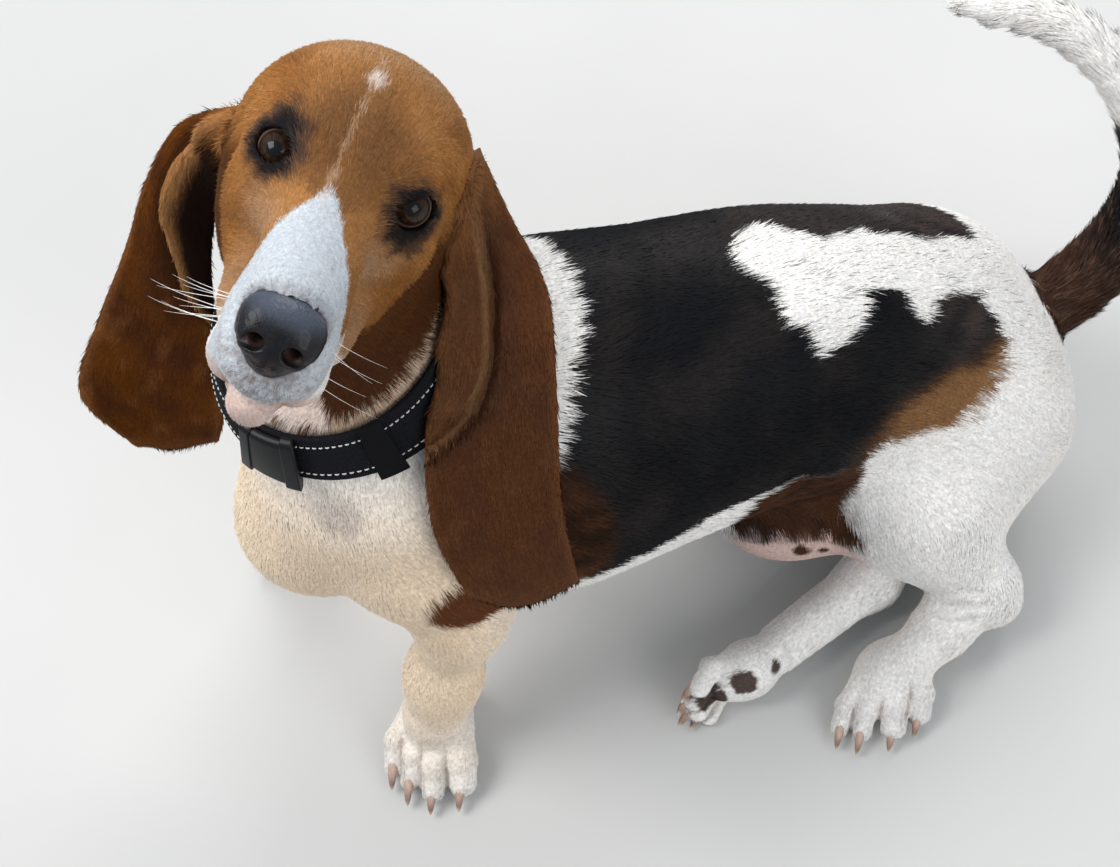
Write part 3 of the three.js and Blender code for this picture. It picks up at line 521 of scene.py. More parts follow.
def refined(P, T, mark):
    """Halves every side of the marked triangles, and cuts their neighbours to match."""
    E, inverse = edges_of(T)
    inverse = inverse.reshape(-1, 3)
    split = np.zeros(len(E), bool)
    split[inverse[mark].ravel()] = True
    number = np.full(len(E), -1)
    number[split] = len(P) + np.arange(split.sum())
    P = np.vstack([P, P[E[split]].mean(1)])
    s = split[inverse]
    m = number[inverse]
    count = s.sum(1)
    out = [T[count == 0]]
    a, b, c = T[count == 3].T
    ab, bc, ca = m[count == 3].T
    out += [np.stack(t, 1) for t in ((a, ab, ca), (ab, b, bc), (ca, bc, c), (ab, bc, ca))]
    for turn in range(3):
        roll = [(turn + n) % 3 for n in range(3)]
        one = (count == 1) & s[:, turn]
        a, b, c = T[one][:, roll].T
        ab = m[one][:, turn]
        out += [np.stack(t, 1) for t in ((a, ab, c), (ab, b, c))]
        two = (count == 2) & ~s[:, (turn + 2) % 3]
        a, b, c = T[two][:, roll].T
        ab = m[two][:, turn]
        bc = m[two][:, (turn + 1) % 3]
        out += [np.stack(t, 1) for t in ((ab, b, bc), (a, ab, bc), (a, bc, c))]
    return P, np.vstack(out)


LONGEST_MOVE = 1.5


def settled(P, field, level, rounds):
    """Moves points on to the field's surface at a level."""
    P = np.asarray(P, F)
    for _ in range(rounds):
        d, g = slope(field, P)
        g2 = np.maximum((g * g).sum(1), 0.2)
        move = np.clip((d - level) / g2, -LONGEST_MOVE, LONGEST_MOVE)
        P = P - move[:, None] * g
    return P


def evened(P, T, field, level, rounds, share=0.5):
    """Slides points along the surface towards the middle of their neighbours."""
    E, _ = edges_of(T)
    for _ in range(rounds):
        total = np.zeros((len(P), 3))
        count = np.zeros(len(P))
        for a, b in ((0, 1), (1, 0)):
            np.add.at(total, E[:, a], P[E[:, b]])
            np.add.at(count, E[:, a], 1)
        target = total / np.maximum(count, 1)[:, None]
        P = settled(P + share * (target - P), field, level, 1)
    return P


def normals_of(P, T):
    """Normals at the points of a mesh."""
    n = np.cross(P[T[:, 1]] - P[T[:, 0]], P[T[:, 2]] - P[T[:, 0]])
    total = np.zeros((len(P), 3))
    for k in range(3):
        np.add.at(total, T[:, k], n)
    return units(total)


# The nose, and the skin of the whole dog
def on_muzzle(x, y, z):
    return on_head(MUZZLE_TIP + x, y, z)


nose_solid = joined(
    balls(
        head_axes,
        [
            ((MUZZLE_TIP - 10, 0, -30), (13, 18, 12.5), 0),
            ((MUZZLE_TIP - 10, 0, -44), (11.5, 11.5, 11.5), 8),
            *[((MUZZLE_TIP - 9, s * 9, -36), (12.5, 9.5, 11.5), 5) for s in both],
        ],
    )
)
nose_field = hollowed(
    nose_solid,
    [
        *[limb(on_muzzle(9, s * 8, -39), on_muzzle(-9, s * 9, -37), 5.4, 3) for s in both],
        *[limb(on_muzzle(1, s * 9, -40), on_muzzle(-7, s * 19, -44), 2.6, 2) for s in both],
        limb(on_muzzle(7, 0, -42), on_muzzle(3, 0, -58), 2.2, 2.4),
    ],
    1.5,
)
head_field = hollowed(head_field, [Field(lambda P: nose_solid(P) + 1.6)], 0.8)
SKIN_STEP = 3.3


def mouth_gap(P):
    """Distance from the line where the lips meet."""
    return np.abs(in_blocks(face, P) - in_blocks(jaw, P))


def near(P, centre, reach):
    return length(P - np.asarray(centre)) < reach


def fine_zones(P):
    """How many times the sides of the skin's triangles are halved at each point."""
    level = np.zeros(len(P), int)
    h = head_axes.into(P)
    level[(h[:, 0] > -150) & (P[:, 2] > 380)] = 1
    for axes in paw_axes.values():
        level[near(P, axes.out(4, 0, 0), 48)] = 1
        level[near(P, axes.out(27, 0, 0), 25)] = 2
    for s in both:
        level[near(P, eye_at(s), 22)] = 2
    level[near(P, on_muzzle(-12, 0, -40), 30)] = 2
    level[(mouth_gap(P) < 3) & (h[:, 0] > -40) & near(P, on_head(40, 0, -75), 80)] = 2
    return level


def crease_lines():
    """Folds of the loose skin: a line of places, its depth and its width. A negative depth is a ridge."""
    lines = []
    for s in both:
        fold = [
            (-13, s * 51, 4), (-17, s * 52, -21), (-19, s * 49, -40), (-16, s * 43, -56), (-23, s * 39, -80),
        ]
        for depth, width, places in (
            (2.6, 4.5, [(x - 6, y, z) for x, y, z in fold]),
            (-1.4, 5, [(x + 4, y, z) for x, y, z in fold]),
            (2.0, 4, [(-30, s * 54, 8), (-40, s * 57, -14), (-44, s * 58, -36)]),
            (1.1, 2.6, [(10, s * 25, -15), (6, s * 33, -19), (-1, s * 41, -18)]),
            (1.0, 4, [(2, s * 15, 16), (-6, s * 24, 21), (-16, s * 36, 20)]),
        ):
            lines.append(([on_head(*place) for place in places], depth, width))
    lines.append(([on_head(26, -4, 5), on_head(4, -5, 22), on_head(-30, -4, 43)], 1.0, 3.5))
    for hock in (
        [(106, -139, 56), (122, -150, 74), (137, -158, 69)],
        [(103, -144, 50), (120, -155, 61), (140, -162, 61)],
        [(102, -152, 48), (119, -163, 52), (135, -167, 54)],
    ):
        lines.append((hock, 2.2, 3.2))
    return lines


TOE_GROOVE = 1.5


def crease_depth(P):
    """How far the skin is moved out at each point by its folds and by the grooves between the toes."""
    total = np.zeros(len(P))
    for line, depth, width in crease_lines():
        d, t = on_line(P, np.array(line, float))
        ends = rise(0, 0.2, t) * rise(1, 0.8, t)
        total -= depth * np.exp(-((d / width) ** 2)) * ends
    return total - TOE_GROOVE * toe_gap(P)


def toe_gap(P):
    """1 in the grooves between the toes, falling to 0 beside them."""
    total = np.zeros(len(P))
    for name, axes in paw_axes.items():
        x, y, z = (axes.into(P) / paw_size[name]).T
        toes = sorted(TOES[name], key=lambda toe: toe[1])
        for one, other in zip(toes, toes[1:]):
            reach = min(one[0], other[0])
            middle = (one[1] + other[1]) / 2 * (0.67 + 0.33 * np.clip((x - reach + 34) / 24, 0, 1))
            along = rise(reach - 20, reach - 8, x) * rise(reach + 16, reach + 8, x)
            total += np.exp(-(((y - middle) / 1.6) ** 2)) * along * (z > -12) * (z < 26)
    return np.minimum(total, 1)


SKIN_LOW = (-330, -225, -8)
SKIN_HIGH = (330, 225, 545)


def make_skin():
    """The skin, COAT_DEPTH under the surface of the flesh, finer at the face and paws."""
    P, Q = net_of(flesh, SKIN_LOW, SKIN_HIGH, SKIN_STEP, -COAT_DEPTH)
    T = triangles_of(P, Q)
    P = settled(P, flesh, -COAT_DEPTH, 2)
    P = evened(P, T, flesh, -COAT_DEPTH, 2)
    for level in (1, 2):
        zone = fine_zones(P)
        P, T = refined(P, T, (zone[T] >= level).any(1))
        P = settled(P, flesh, -COAT_DEPTH, 2)
    P = evened(P, T, flesh, -COAT_DEPTH, 1, 0.4)
    P = P + normals_of(P, T) * crease_depth(P)[:, None]
    P[:, 2] = np.maximum(P[:, 2], 0.5)
    return P.astype(float), T


# Ears: a sheet between a back margin and a front one, folded along a ridge between them
EAR_LINES = {
    "left": (
        [
            (-81, 66, 400), (-74, 42, 376), (-69, 7, 348), (-78, -26, 344), (-92, -60, 324), (-104, -86, 290),
            (-106, -100, 218),
        ],
        [
            (-92, 40, 424), (-93, 28, 386), (-99, 6, 362), (-112, -24, 354), (-134, -52, 336),
            (-141, -82, 292), (-142, -100, 216),
        ],
        [
            (-104, 17, 424), (-111, 16, 398), (-126, 14, 366), (-137, -19, 358), (-157, -46, 338),
            (-170, -76, 298), (-166, -94, 246),
        ],
    ),
    "right": (
        [
            (-171, 116, 427), (-208, 132, 420), (-240, 140, 376), (-268, 138, 330), (-300, 134, 284),
            (-330, 118, 244), (-316, 96, 202),
        ],
        [
            (-180, 103, 440), (-206, 117, 426), (-229, 116, 394), (-240, 112, 344), (-262, 109, 290),
            (-288, 102, 240), (-298, 88, 198),
        ],
        [
            (-190, 90, 441), (-196, 101, 412), (-212, 104, 380), (-228, 100, 334), (-238, 90, 288),
            (-254, 76, 240), (-268, 74, 208),
        ],
    ),
}
EAR_ROWS = 110
EAR_COLUMNS = 56
# An ear's clear space over the skin under it, the width of its rounded rim, the height of its waves and of
# the front margin where it turns over, and the depth of the groove beside that
EAR_CLEAR = 1.4
EAR_RIM = 5
EAR_WAVE = 1.2
EAR_TURNED = 6.0
EAR_GROOVE = 1.6


def ear_sheet(side):
    """The middle of an ear as a grid of points down and across it, laid on the head and neck."""
    t = np.linspace(0, 1, EAR_ROWS + 1)
    s = np.linspace(0, 1, EAR_COLUMNS + 1)
    rows = zip(*[curve_through(line)(t) for line in EAR_LINES[side]])
    G = np.stack([curve_through(row)(s) for row in rows])
    shape = G.shape
    loose = rise(0.08, 0.2, t[:, None] - 0.16 * s[None]).ravel()
    for _ in range(5):
        flat = G.reshape(-1, 3).astype(F)
        d, g = slope(flesh, flat)
        push = np.maximum(EAR_THICK / 2 + EAR_CLEAR - d, 0) * loose
        G = (flat + units(g) * push[:, None]).reshape(shape).astype(float)
        for _ in range(2):
            H = G.copy()
            H[1:-1, 1:-1] = (G[:-2, 1:-1] + G[2:, 1:-1] + G[1:-1, :-2] + G[1:-1, 2:]) / 4
            for edge in (0, -1):
                H[1:-1, edge] = (G[:-2, edge] + G[2:, edge]) / 2
            G = 0.5 * G + 0.5 * H
    N = units(np.cross(np.gradient(G, axis=0), np.gradient(G, axis=1)))
    return G, N, t, s


def sheet_mesh(G, N, half):
    """A closed sheet from a grid of middle points, its normals and its half thickness."""
    rows, columns = G.shape[:2]
    P = np.concatenate([(G + s * N * half[..., None]).reshape(-1, 3) for s in both])
    i, j = np.meshgrid(np.arange(rows - 1), np.arange(columns - 1), indexing="ij")
    a = (i * columns + j).ravel()
    other = rows * columns
    first = np.arange(rows - 1) * columns
    last = first + columns - 1
    top = np.arange(columns - 1)
    low = top + (rows - 1) * columns
    rings = (
        (a, a + columns, a + columns + 1, a + 1),
        (a + other, a + 1 + other, a + columns + 1 + other, a + columns + other),
        (first, first + other, first + columns + other, first + columns),
        (last, last + columns, last + columns + other, last + other),
        (top, top + 1, top + 1 + other, top + other),
        (low, low + other, low + 1 + other, low + 1),
    )
    Q = np.vstack([np.stack(ring, 1) for ring in rings])
    return P, np.vstack([Q[:, [0, 1, 2]], Q[:, [0, 2, 3]]])


# Folds of the ears: how far down each is and, there, how far across the line lies where the front margin
# turns over
EAR_FOLDS = {
    "left": (
        (0.0, 0.11, 0.25, 0.39, 0.53, 0.61, 0.66, 0.69),
        (0.05, 0.37, 0.44, 0.46, 0.46, 0.50, 0.72, 1.1),
    ),
    "right": (
        (0.0, 0.15, 0.24, 0.38, 0.46, 0.54, 0.59, 0.63),
        (0.30, 0.55, 0.50, 0.45, 0.46, 0.57, 0.80, 1.1),
    ),
}


def past_fold(side, t, s):
    """How far, in shares of the width, a place lies in front of the ear's fold."""
    return s - np.interp(t, *EAR_FOLDS[side], right=3.0)


def run_along(G, axis):
    """The way run along a grid's axis to each of its points."""
    run = length(np.diff(G, axis=axis)).cumsum(axis)
    return np.concatenate([0 * run.take([0], axis), run], axis)


def make_ear(side):
    """An ear's mesh, its places down and across, which face each point is on, and the lie of its hair."""
    G, N, t, s = ear_sheet(side)
    down = t[:, None]
    run = run_along(G, 1)
    tall = run_along(G, 0)
    rim = np.clip(np.minimum(np.minimum(run, run[:, -1:] - run), tall[-1:] - tall) / EAR_RIM, 0, 1)
    half = (EAR_THICK / 2 - COAT_DEPTH) * (0.3 + 0.7 * np.sqrt(1 - (1 - rim) ** 2))
    half = half + EAR_ROOT * np.clip(1 - 4 * down, 0, 1) ** 2
    wave = EAR_WAVE * np.sin(2.6 * np.pi * s)[None] * np.sin(5.2 * np.pi * down) * rise(0.3, 0.7, down)
    G = G + N * wave[..., None] * (0.4 + 0.6 * (1 - rim))[..., None]
    off = past_fold(side, down, s[None]) * run[:, -1:]
    raised = EAR_TURNED * rise(-2.5, 3.0, off) * (1 - 0.75 * rise(6, 34, off))
    raised = raised - EAR_GROOVE * rise(-12, -3, off) * rise(1, -2.5, off)
    G = G + N * (raised * rise(0.02, 0.12, down))[..., None]
    P, T = sheet_mesh(G, N, half)
    place = np.tile(np.stack(np.meshgrid(t, s, indexing="ij"), -1).reshape(-1, 2), (2, 1))
    face_side = np.repeat([1.0, -1.0], G[..., 0].size)
    lie = np.gradient(G, axis=0).reshape(-1, 3)
    return P, T, place, face_side, units(np.vstack([lie, lie]))


# Making Blender objects
def to_row(P):
    """Places in the row frame, in metres."""
    return (np.asarray(P, float) - MIDDLE) * 0.001


def new_piece(name, P, faces, slot, materials, colours=None, nodes=()):
    """A piece that rides the body, from points and triangles or quads. Its nodes are the ones it replaces."""
    faces = np.asarray(faces, np.int32)
    mesh = bpy.data.meshes.new(name)
    mesh.vertices.add(len(P))
    mesh.vertices.foreach_set("co", to_row(P).astype(F).ravel())
    mesh.loops.add(faces.size)
    mesh.loops.foreach_set("vertex_index", faces.ravel())
    mesh.polygons.add(len(faces))
    mesh.polygons.foreach_set("loop_start", np.arange(len(faces), dtype=np.int32) * faces.shape[1])
    mesh.update(calc_edges=True)
    mesh.polygons.foreach_set("use_smooth", np.full(len(faces), True))
    made = bpy.data.objects.new(name, mesh)
    bpy.context.scene.collection.objects.link(made)
    for material in materials:
        mesh.materials.append(material)
    if colours is not None:
        layer = mesh.attributes.new("coat", "FLOAT_COLOR", "POINT")
        layer.data.foreach_set("color", np.column_stack([colours, np.ones(len(P))]).astype(F).ravel())
    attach(made, "root")
    if nodes:
        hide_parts(*nodes)
    return made


# Markings, with light and shade painted among them. Every colour is linear light, and every edge is a line or
# a
# rounded shape in the places of the body: x along the back and the angle round its middle line, or the head's
# own axes.
WHITE = (0.85, 0.82, 0.77)
CREAM = (0.66, 0.50, 0.36)
SAND = (0.85, 0.59, 0.32)
BLACK = (0.006, 0.006, 0.007)
BROWN = (0.060, 0.024, 0.011)
TAN = (0.23, 0.115, 0.048)
CHESTNUT = (0.29, 0.125, 0.036)
SHADED = (0.060, 0.021, 0.007)
MAHOGANY = (0.095, 0.029, 0.004)
GOLDEN = (0.27, 0.115, 0.036)
PINK = (0.60, 0.34, 0.28)
DARK_LIP_AND_SHADE = (0.022, 0.014, 0.012)
PAD = (0.080, 0.056, 0.047)

MIDLINE = vec(
    (-280, 15, 190), (-176, 6, 215), (-85, 2, 219), (30, 0, 196), (118, 0, 150), (178, 4, 98), (260, 4, 60)
)
# How many units one degree round the middle line counts for
TURN = 1.57
SADDLE = [
    (-58, 26), (-55, 10), (-57, -1), (-65, -9), (-74, -16), (-84, -25), (-96, -36), (-103, -46), (-108, -62),
    (-109, -85), (-104, -101), (-67, -99), (-29, -89), (0, -86), (29, -85), (52, -90), (66, -84), (80, -66),
    (92, -56), (136, -40), (168, -33), (184, -26), (196, -8), (198, 14), (186, 30), (150, 42), (110, 60),
    (76, 84), (30, 93), (-20, 88), (-62, 94), (-88, 86), (-100, 68), (-88, 52), (-70, 40),
]
BACK_PATCH = [
    (33, 6), (45, 15), (60, 19), (73, 12), (91, 7), (118, 11), (139, 7), (167, 4), (215, 5), (215, -30),
    (184, -28), (183, -23), (179, -16), (163, -13), (146, -16), (132, -24), (127, -15), (118, -11),
    (103, -12), (93, -21), (81, -26), (60, -31), (56, -22), (45, -18), (48, -6), (40, -1),
]
TAN_PATCH = [
    (186, -14), (150, -20), (118, -32), (88, -44), (70, -58), (56, -84), (60, -100), (72, -92), (80, -78),
    (93, -71), (116, -73), (139, -66), (160, -52), (175, -42), (186, -33),
]
BELLY_LEFT = [
    (2, -90), (29, -84), (52, -88), (66, -84), (76, -96), (74, -112), (66, -128), (50, -144), (33, -152),
    (12, -158), (-16, -154), (-20, -122),
]


def round_middle(P):
    """x and the angle round the trunk's middle line, times TURN: 0 on top, negative on the left."""
    y, z = [P[:, m] - np.interp(P[:, 0], MIDLINE[:, 0], MIDLINE[:, m]) for m in (1, 2)]
    return np.stack([P[:, 0], np.degrees(np.arctan2(y, z)) * TURN], 1)


def from_stretch(P, a, b):
    """The share of the straight way from a to b nearest each point, and the way from there to the point."""
    ab = b - a
    t = np.clip((P - a) @ ab / (ab @ ab), 0, 1)
    return t, P - a - t[:, None] * ab


def inside_of(outline, Q):
    """Distance inside a closed outline of x and degrees, negative outside, for places from round_middle."""
    A = np.array(outline, float) * (1, TURN)
    B = np.roll(A, -1, axis=0)
    best = np.full(len(Q), 1e9)
    odd = np.zeros(len(Q), bool)
    for a, b in zip(A, B):
        best = np.minimum(best, np.hypot(*from_stretch(Q, a, b)[1].T))
        crosses = (a[1] > Q[:, 1]) != (b[1] > Q[:, 1])
        if b[1] != a[1]:
            x = a[0] + (Q[:, 1] - a[1]) * (b[0] - a[0]) / (b[1] - a[1])
            odd ^= crosses & (Q[:, 0] < x)
    return np.where(odd, best, -best)


WAVES = 7


def lumps(P, size, seed, octaves=3):
    """Smooth noise between about -1 and 1, from sums of waves in fixed random ways."""
    made = np.random.default_rng(seed)
    total = np.zeros(len(P))
    weight = 0
    for octave in range(octaves):
        for _ in range(WAVES):
            way = unit(made.normal(size=3)) * (2 * np.pi / size) * 1.9**octave * made.uniform(0.7, 1.3)
            total += np.sin(P @ way + made.uniform(0, 6.28)) * 0.6**octave
        weight += WAVES * 0.36**octave / 2
    return total / math.sqrt(weight) / 1.6


def mix(a, b, w):
    """w of the way from a to b."""
    a = np.asarray(a, float)
    return a + (np.asarray(b, float) - a) * np.asarray(w)[..., None]


def over(base, colour, inside, soft):
    """Lays a colour where inside is positive, with an edge about soft wide."""
    return mix(base, colour, rise(-soft / 2, soft / 2, inside))


def light_of(colour):
    """How light a colour looks."""
    return colour @ (0.3, 0.6, 0.1)


def on_line(P, line):
    """Nearest place on a row of points: distance and share of the way."""
    best = np.full(len(P), 1e9)
    share = np.zeros(len(P))
    n = len(line) - 1
    for i in range(n):
        t, off = from_stretch(P, line[i], line[i + 1])
        d = length(off)
        closer = d < best
        best = np.where(closer, d, best)
        share = np.where(closer, (i + t) / n, share)
    return best, share


def mirrored(outline, Q):
    """Distance inside an outline or its mirror image on the other side."""
    return np.maximum(inside_of(outline, Q), inside_of(outline, Q * (1, -1)))


def egg(P, centre, radii):
    """How far a point is inside an egg: 1 at its middle, 0 at its surface."""
    return 1 - length((P - centre) / radii)


def groin_share(P):
    """How far a point is inside the bare skin of the groin."""
    return egg(P, (36, -86, 76), (64, 36, 29))


def above_collar(P):
    """Height over the plane that parts the head from the neck."""
    return (P - (-165, 60, 366)) @ unit((-0.03, -0.17, 0.985))


def body_colour(P):
    """The colours of the body, legs and tail."""
    x = P[:, 0]
    Q = round_middle(P)
    Q = Q + np.stack([lumps(P, 14, 3), lumps(P, 14, 4)], 1) * 1.6
    c = np.tile(np.array(WHITE), (len(P), 1))
    c *= (1 + 0.025 * lumps(P, 60, 5))[:, None]
    # Sand at random, and more on the chest and upper forelegs: a creamy tint of the coat with painted warm
    # light bounced up from below.
    warm = rise(350, 250, P[:, 2]) * rise(-90, -190, x) * rise(-10, 95, P[:, 2])
    c = mix(c, SAND, 0.05 * rise(0.2, 1.2, lumps(P, 90, 6)) + 0.64 * warm)
    trunk_only = (x < 218) & (P[:, 2] < 345) & (x > -150)
    black = mix(BLACK, (0.016, 0.013, 0.012), rise(-0.5, 1.2, lumps(P, 70, 7)))
    saddle = inside_of(SADDLE, Q)
    belly = np.minimum(inside_of(BELLY_LEFT, Q), P[:, 2] - 97 + 4 * lumps(P, 12, 37))
    c = over(c, mix(BROWN, (0.030, 0.014, 0.009), rise(-0.8, 0.8, lumps(P, 24, 8))), belly, 9)
    patch = mirrored(TAN_PATCH, Q) + 2.5 * lumps(P, 9, 19)
    tan = mix((0.060, 0.030, 0.016), TAN, rise(0, 11, -saddle) * rise(70, 110, x))
    c = over(c, tan, np.where(x > 40, patch, -50), 6)
    c = over(c, black, np.where(trunk_only, saddle, -50), np.where(patch > 0, 10, 3.5))
    # A grey sheen of light is painted on the black just right of the spine, and the black turns brown where
    # it is worn over the hips
    painted_sheen = rise(30, 60, x) * rise(6 * TURN, 12 * TURN, Q[:, 1]) * (saddle > 0) * 0.22
    c = mix(c, (0.10, 0.075, 0.065), painted_sheen)
    worn = rise(130, 165, x) * (saddle > 0) * rise(-0.9, 0.6, lumps(P, 26, 18))
    c = mix(c, (0.055, 0.040, 0.034), 0.7 * worn)
    behind = mix(BROWN, (0.020, 0.010, 0.006), rise(-1, 1, lumps(P, 40, 8)))
    c = over(c, behind, egg(P, (-118, -96, 262), (36, 60, 62)), 0.22)
    c = over(c, (0.11, 0.036, 0.012), egg(P, (-152, -92, 212), (44, 30, 32)), 0.25)
    back_patch = inside_of(BACK_PATCH, Q)
    c = over(c, WHITE, np.where(saddle > -40, back_patch, -9), 3)
    c[(lumps(P, 7, 9) > 1.3) & (back_patch > 2) & (x > 40)] *= 0.35
    # Painted shade of a skin fold: a grey-brown patch high on the front of the chest, under the neck.
    fold_shade = egg(P, (-215, -40, 297), (24, 24, 17)) + 0.15 * lumps(P, 20, 36)
    c = mix(c, (0.34, 0.28, 0.26), 0.5 * rise(0, 0.6, fold_shade))
    c = over(c, mix(PINK, WHITE, 0.30), groin_share(P) + 0.10 * lumps(P, 16, 27), 0.30)
    for centre, size in (((39, -91, 91), 6), ((52, -93, 88), 3.4), ((63, -90, 112), 9)):
        c = over(c, BROWN, size - length((P - centre) * (1, 0.4, 1)) + 1.2 * lumps(P, 6, 28), 1.5)
    near_tail, t = on_line(P, tail_line)
    dark = mix((0.045, 0.022, 0.014), BLACK, rise(0.15, 0.4, t))
    dark = mix(dark, (0.11, 0.060, 0.038), 0.6 * rise(0, 1, lumps(P, 10, 29)))
    on_tail = np.minimum(34 - near_tail, (x - 236) + lumps(P, 12, 10) * 3)
    on_tail = np.minimum(on_tail, (0.60 - t) * 260 + lumps(P, 10, 11) * 4)
    c = over(c, dark, on_tail, 8)
    # Painted shade darkens the grooves between the toes.
    c = mix(c, (0.26, 0.17, 0.12), 0.6 * toe_gap(P))
    for centre, size in (((-46, -138, 30), 11), ((-24, -141, 43), 9), ((0, -139, 41), 5)):
        c = over(c, PAD, size - length(P - centre) + lumps(P, 7, 30), 2.5)
    return c


def blaze(h):
    """Distance inside the white of the face, in the head's axes."""
    x, y, _ = h.T
    left = np.interp(x, [20, 30, 40, 50, 58, 64, 74, 80, 90], [-6, 1, 5, 9, 13, 15, 24, 40, 60])
    right = np.interp(x, [20, 28, 36, 44, 50, 58, 64, 74, 80], [3, 7, 12, 17, 20, 24, 28, 38, 60])
    return np.minimum(left - y, right + y)


def head_colour(P):
    """The colours of the head, without the ears."""
    h = head_axes.into(P)
    x, y, z = h.T
    wide = np.abs(y)
    jitter = lumps(P, 9, 12)
    c = mix(CHESTNUT, (0.22, 0.088, 0.024), rise(-0.8, 1.0, lumps(P, 45, 13)))
    # Paler cheeks; painted shade over the brows and along the furrow up the middle of the brow;
    # a pale crown and pale pouches under the eyes
    for tone, share, places in (
        ((0.37, 0.18, 0.064), 0.45, ((44, 20, wide), (-60, -10, x), (-50, -10, z))),
        ((0.13, 0.055, 0.020), 0.7, ((26, 6, np.hypot(x - 2, wide - 13)), (-12, 6, z))),
        ((0.14, 0.062, 0.022), 0.7, ((26, 8, np.abs(y + 4)), (-50, -10, x), (0, 1e-9, z))),
        ((0.42, 0.25, 0.125), 0.35, ((-30, -60, x), (20, 40, z), (50, 20, wide))),
        ((0.40, 0.24, 0.13), 0.5, ((30, 12, np.hypot(x - 22, wide - 32)), (-4, -20, z))),
    ):
        for place in places:
            share = share * rise(*place)
        c = mix(c, tone, share)
    seam_x = np.interp(z, [-96, -60, -40, -20, 0, 20], [-18, -16, -18, -20, -24, -34])
    behind = rise(3, -5, x - seam_x + 1.5 * jitter) * rise(2, -20, z)
    c = mix(c, SHADED, behind * 0.93)
    for s in both:
        ahead, side, up = gaze(s).into(P).T
        rim = np.hypot(1.06 * side, np.where(up < 0, 0.74, 1.2) * up)
        c = over(c, (0.070, 0.038, 0.024), np.where(ahead > -6, 17 - rim + jitter * 2, -9), 7)
        c = over(c, (0.010, 0.007, 0.007), np.where(ahead > -6, 12.8 - rim + jitter * 1.4, -9), 4)
    lip = np.minimum((-60 - z) * 0.9 + np.clip(x - 20, -30, 40) * 0.35, x - 30) + jitter * 2
    under = np.minimum(-76 - z + 0.2 * x, x + 8) + jitter * 2
    c = over(c, mix(CREAM, WHITE, rise(20, 60, x)), lip, 12)
    c = over(c, mix(WHITE, (0.72, 0.52, 0.44), rise(60, 10, x) * 0.6), under, 8)
    # The white of the blaze is painted a bluish grey: a painted cast of cool sky light on the white.
    c = over(c, (0.53, 0.56, 0.59), blaze(h) + jitter * 1.3, 2.6)
    line = np.where((x < 34) & (x > -52) & (z > 0), 1.3 - np.abs(y + 5) + 0.8 * jitter, -9)
    c = mix(c, (0.55, 0.36, 0.22), 0.40 * rise(-0.8, 0.8, line))
    spot = 5 - length((h - (-31, -4, 43)) / (1.5, 0.8, 1)) + jitter * 1.5
    c = mix(c, WHITE, 0.42 * rise(-3, 3, spot))
    around = np.abs(in_blocks(nose_solid, P))
    c[(lumps(P, 3.2, 14, 2) > 0.95 + around / 22) & (around < 22)] *= 0.55
    c = mix(c, (0.16, 0.14, 0.14), 0.5 * rise(6, 1, around))
    chin = rise(26, 8, around) * rise(-44, -58, z) * rise(-0.7, 0.8, lumps(P, 5, 31))
    c = mix(c, (0.20, 0.15, 0.13), 0.75 * chin)
    # Along the line where the lips meet: dark lip skin, darkened further as painted shade in the gap.
    c = over(c, DARK_LIP_AND_SHADE, np.where((x > -20) & (z < -50), 2.6 - mouth_gap(P), -9), 1.8)
    return mix(c, (0.62, 0.43, 0.35), 0.8 * rise(-68, -78, z) * rise(30, 60, x))


def ear_colour(side, P, place, face_side):
    """The colours of an ear, from places down and across it. Its inner face has a face_side under 0."""
    t, s = place.T
    off = past_fold(side, t, s)
    c = mix(MAHOGANY, (0.060, 0.018, 0.005), rise(-0.8, 1.2, lumps(P, 40, 15)))
    c = mix(c, (0.15, 0.055, 0.016), 0.55 * rise(0.5, 1.1, lumps(P, 30, 32)))
    # The margins and the tip are painted lighter, as a highlight along the ear's rounded rim.
    rim = 0.6 * rise(0.10, 0.0, np.minimum(s, 1 - s)) + 0.4 * rise(0.93, 1.0, t)
    c = mix(c, (0.20, 0.080, 0.026), rim)
    shade = 0.85 * rise(-0.30, -0.04, off) * (off <= 0) * rise(0.04, 0.12, t)
    c = mix(c, (0.022, 0.007, 0.003), shade)
    if side == "left":
        flap = mix((0.12, 0.045, 0.012), (0.19, 0.080, 0.025), rise(-0.6, 0.9, lumps(P, 22, 33)))
        # A light line along the ridge of the fold: paler thin hair on the ridge, brightened as a painted
        # highlight.
        flap = mix(flap, (0.42, 0.23, 0.10), 0.85 * rise(0.09, 0.02, np.abs(off - 0.05)))
        root = rise(0.17, 0.02, t - 0.10 * rise(0.2, 0.6, s))
    else:
        # In front of the fold a lighter band runs along the turned ridge; past it the ear's cup is painted
        # near black, as shade.
        flap = mix((0.016, 0.005, 0.002), (0.28, 0.13, 0.046), rise(0.24, 0.07, off))
        root = rise(0.10, 0.02, t)
    c = mix(np.where(off[:, None] > 0, flap, c), GOLDEN, root * 0.9)
    inner = face_side < 0
    c[inner] = mix(c[inner], (0.09, 0.036, 0.018), 0.6)
    return c


def skin_colour(P):
    """The colours of the whole dog but its ears."""
    plane = above_collar(P)
    c = over(body_colour(P), head_colour(P), plane + 4 + lumps(P, 14, 17) * 2, 7)
    # Under the cheek the throat is shaded, and paler bands run along the collar
    q = collar_axes.into(P)
    turn = np.degrees(np.arctan2(q[:, 1], q[:, 0]))
    away = np.abs((turn + 145 + 180) % 360 - 180)
    level = q[:, 2] + 1.6 * lumps(P, 10, 34)
    side = rise(36, 44, away + 2 * lumps(P, 12, 35)) * (plane < 30)
    c = mix(c, SHADED, side * rise(15, 19, level) * rise(34, 20, plane))
    c = mix(c, (0.50, 0.37, 0.26), rise(9, 13, level) * rise(19, 15, level) * side)
    return mix(c, (0.74, 0.60, 0.52), (1 - side) * rise(12, 18, level) * rise(26, 10, plane))


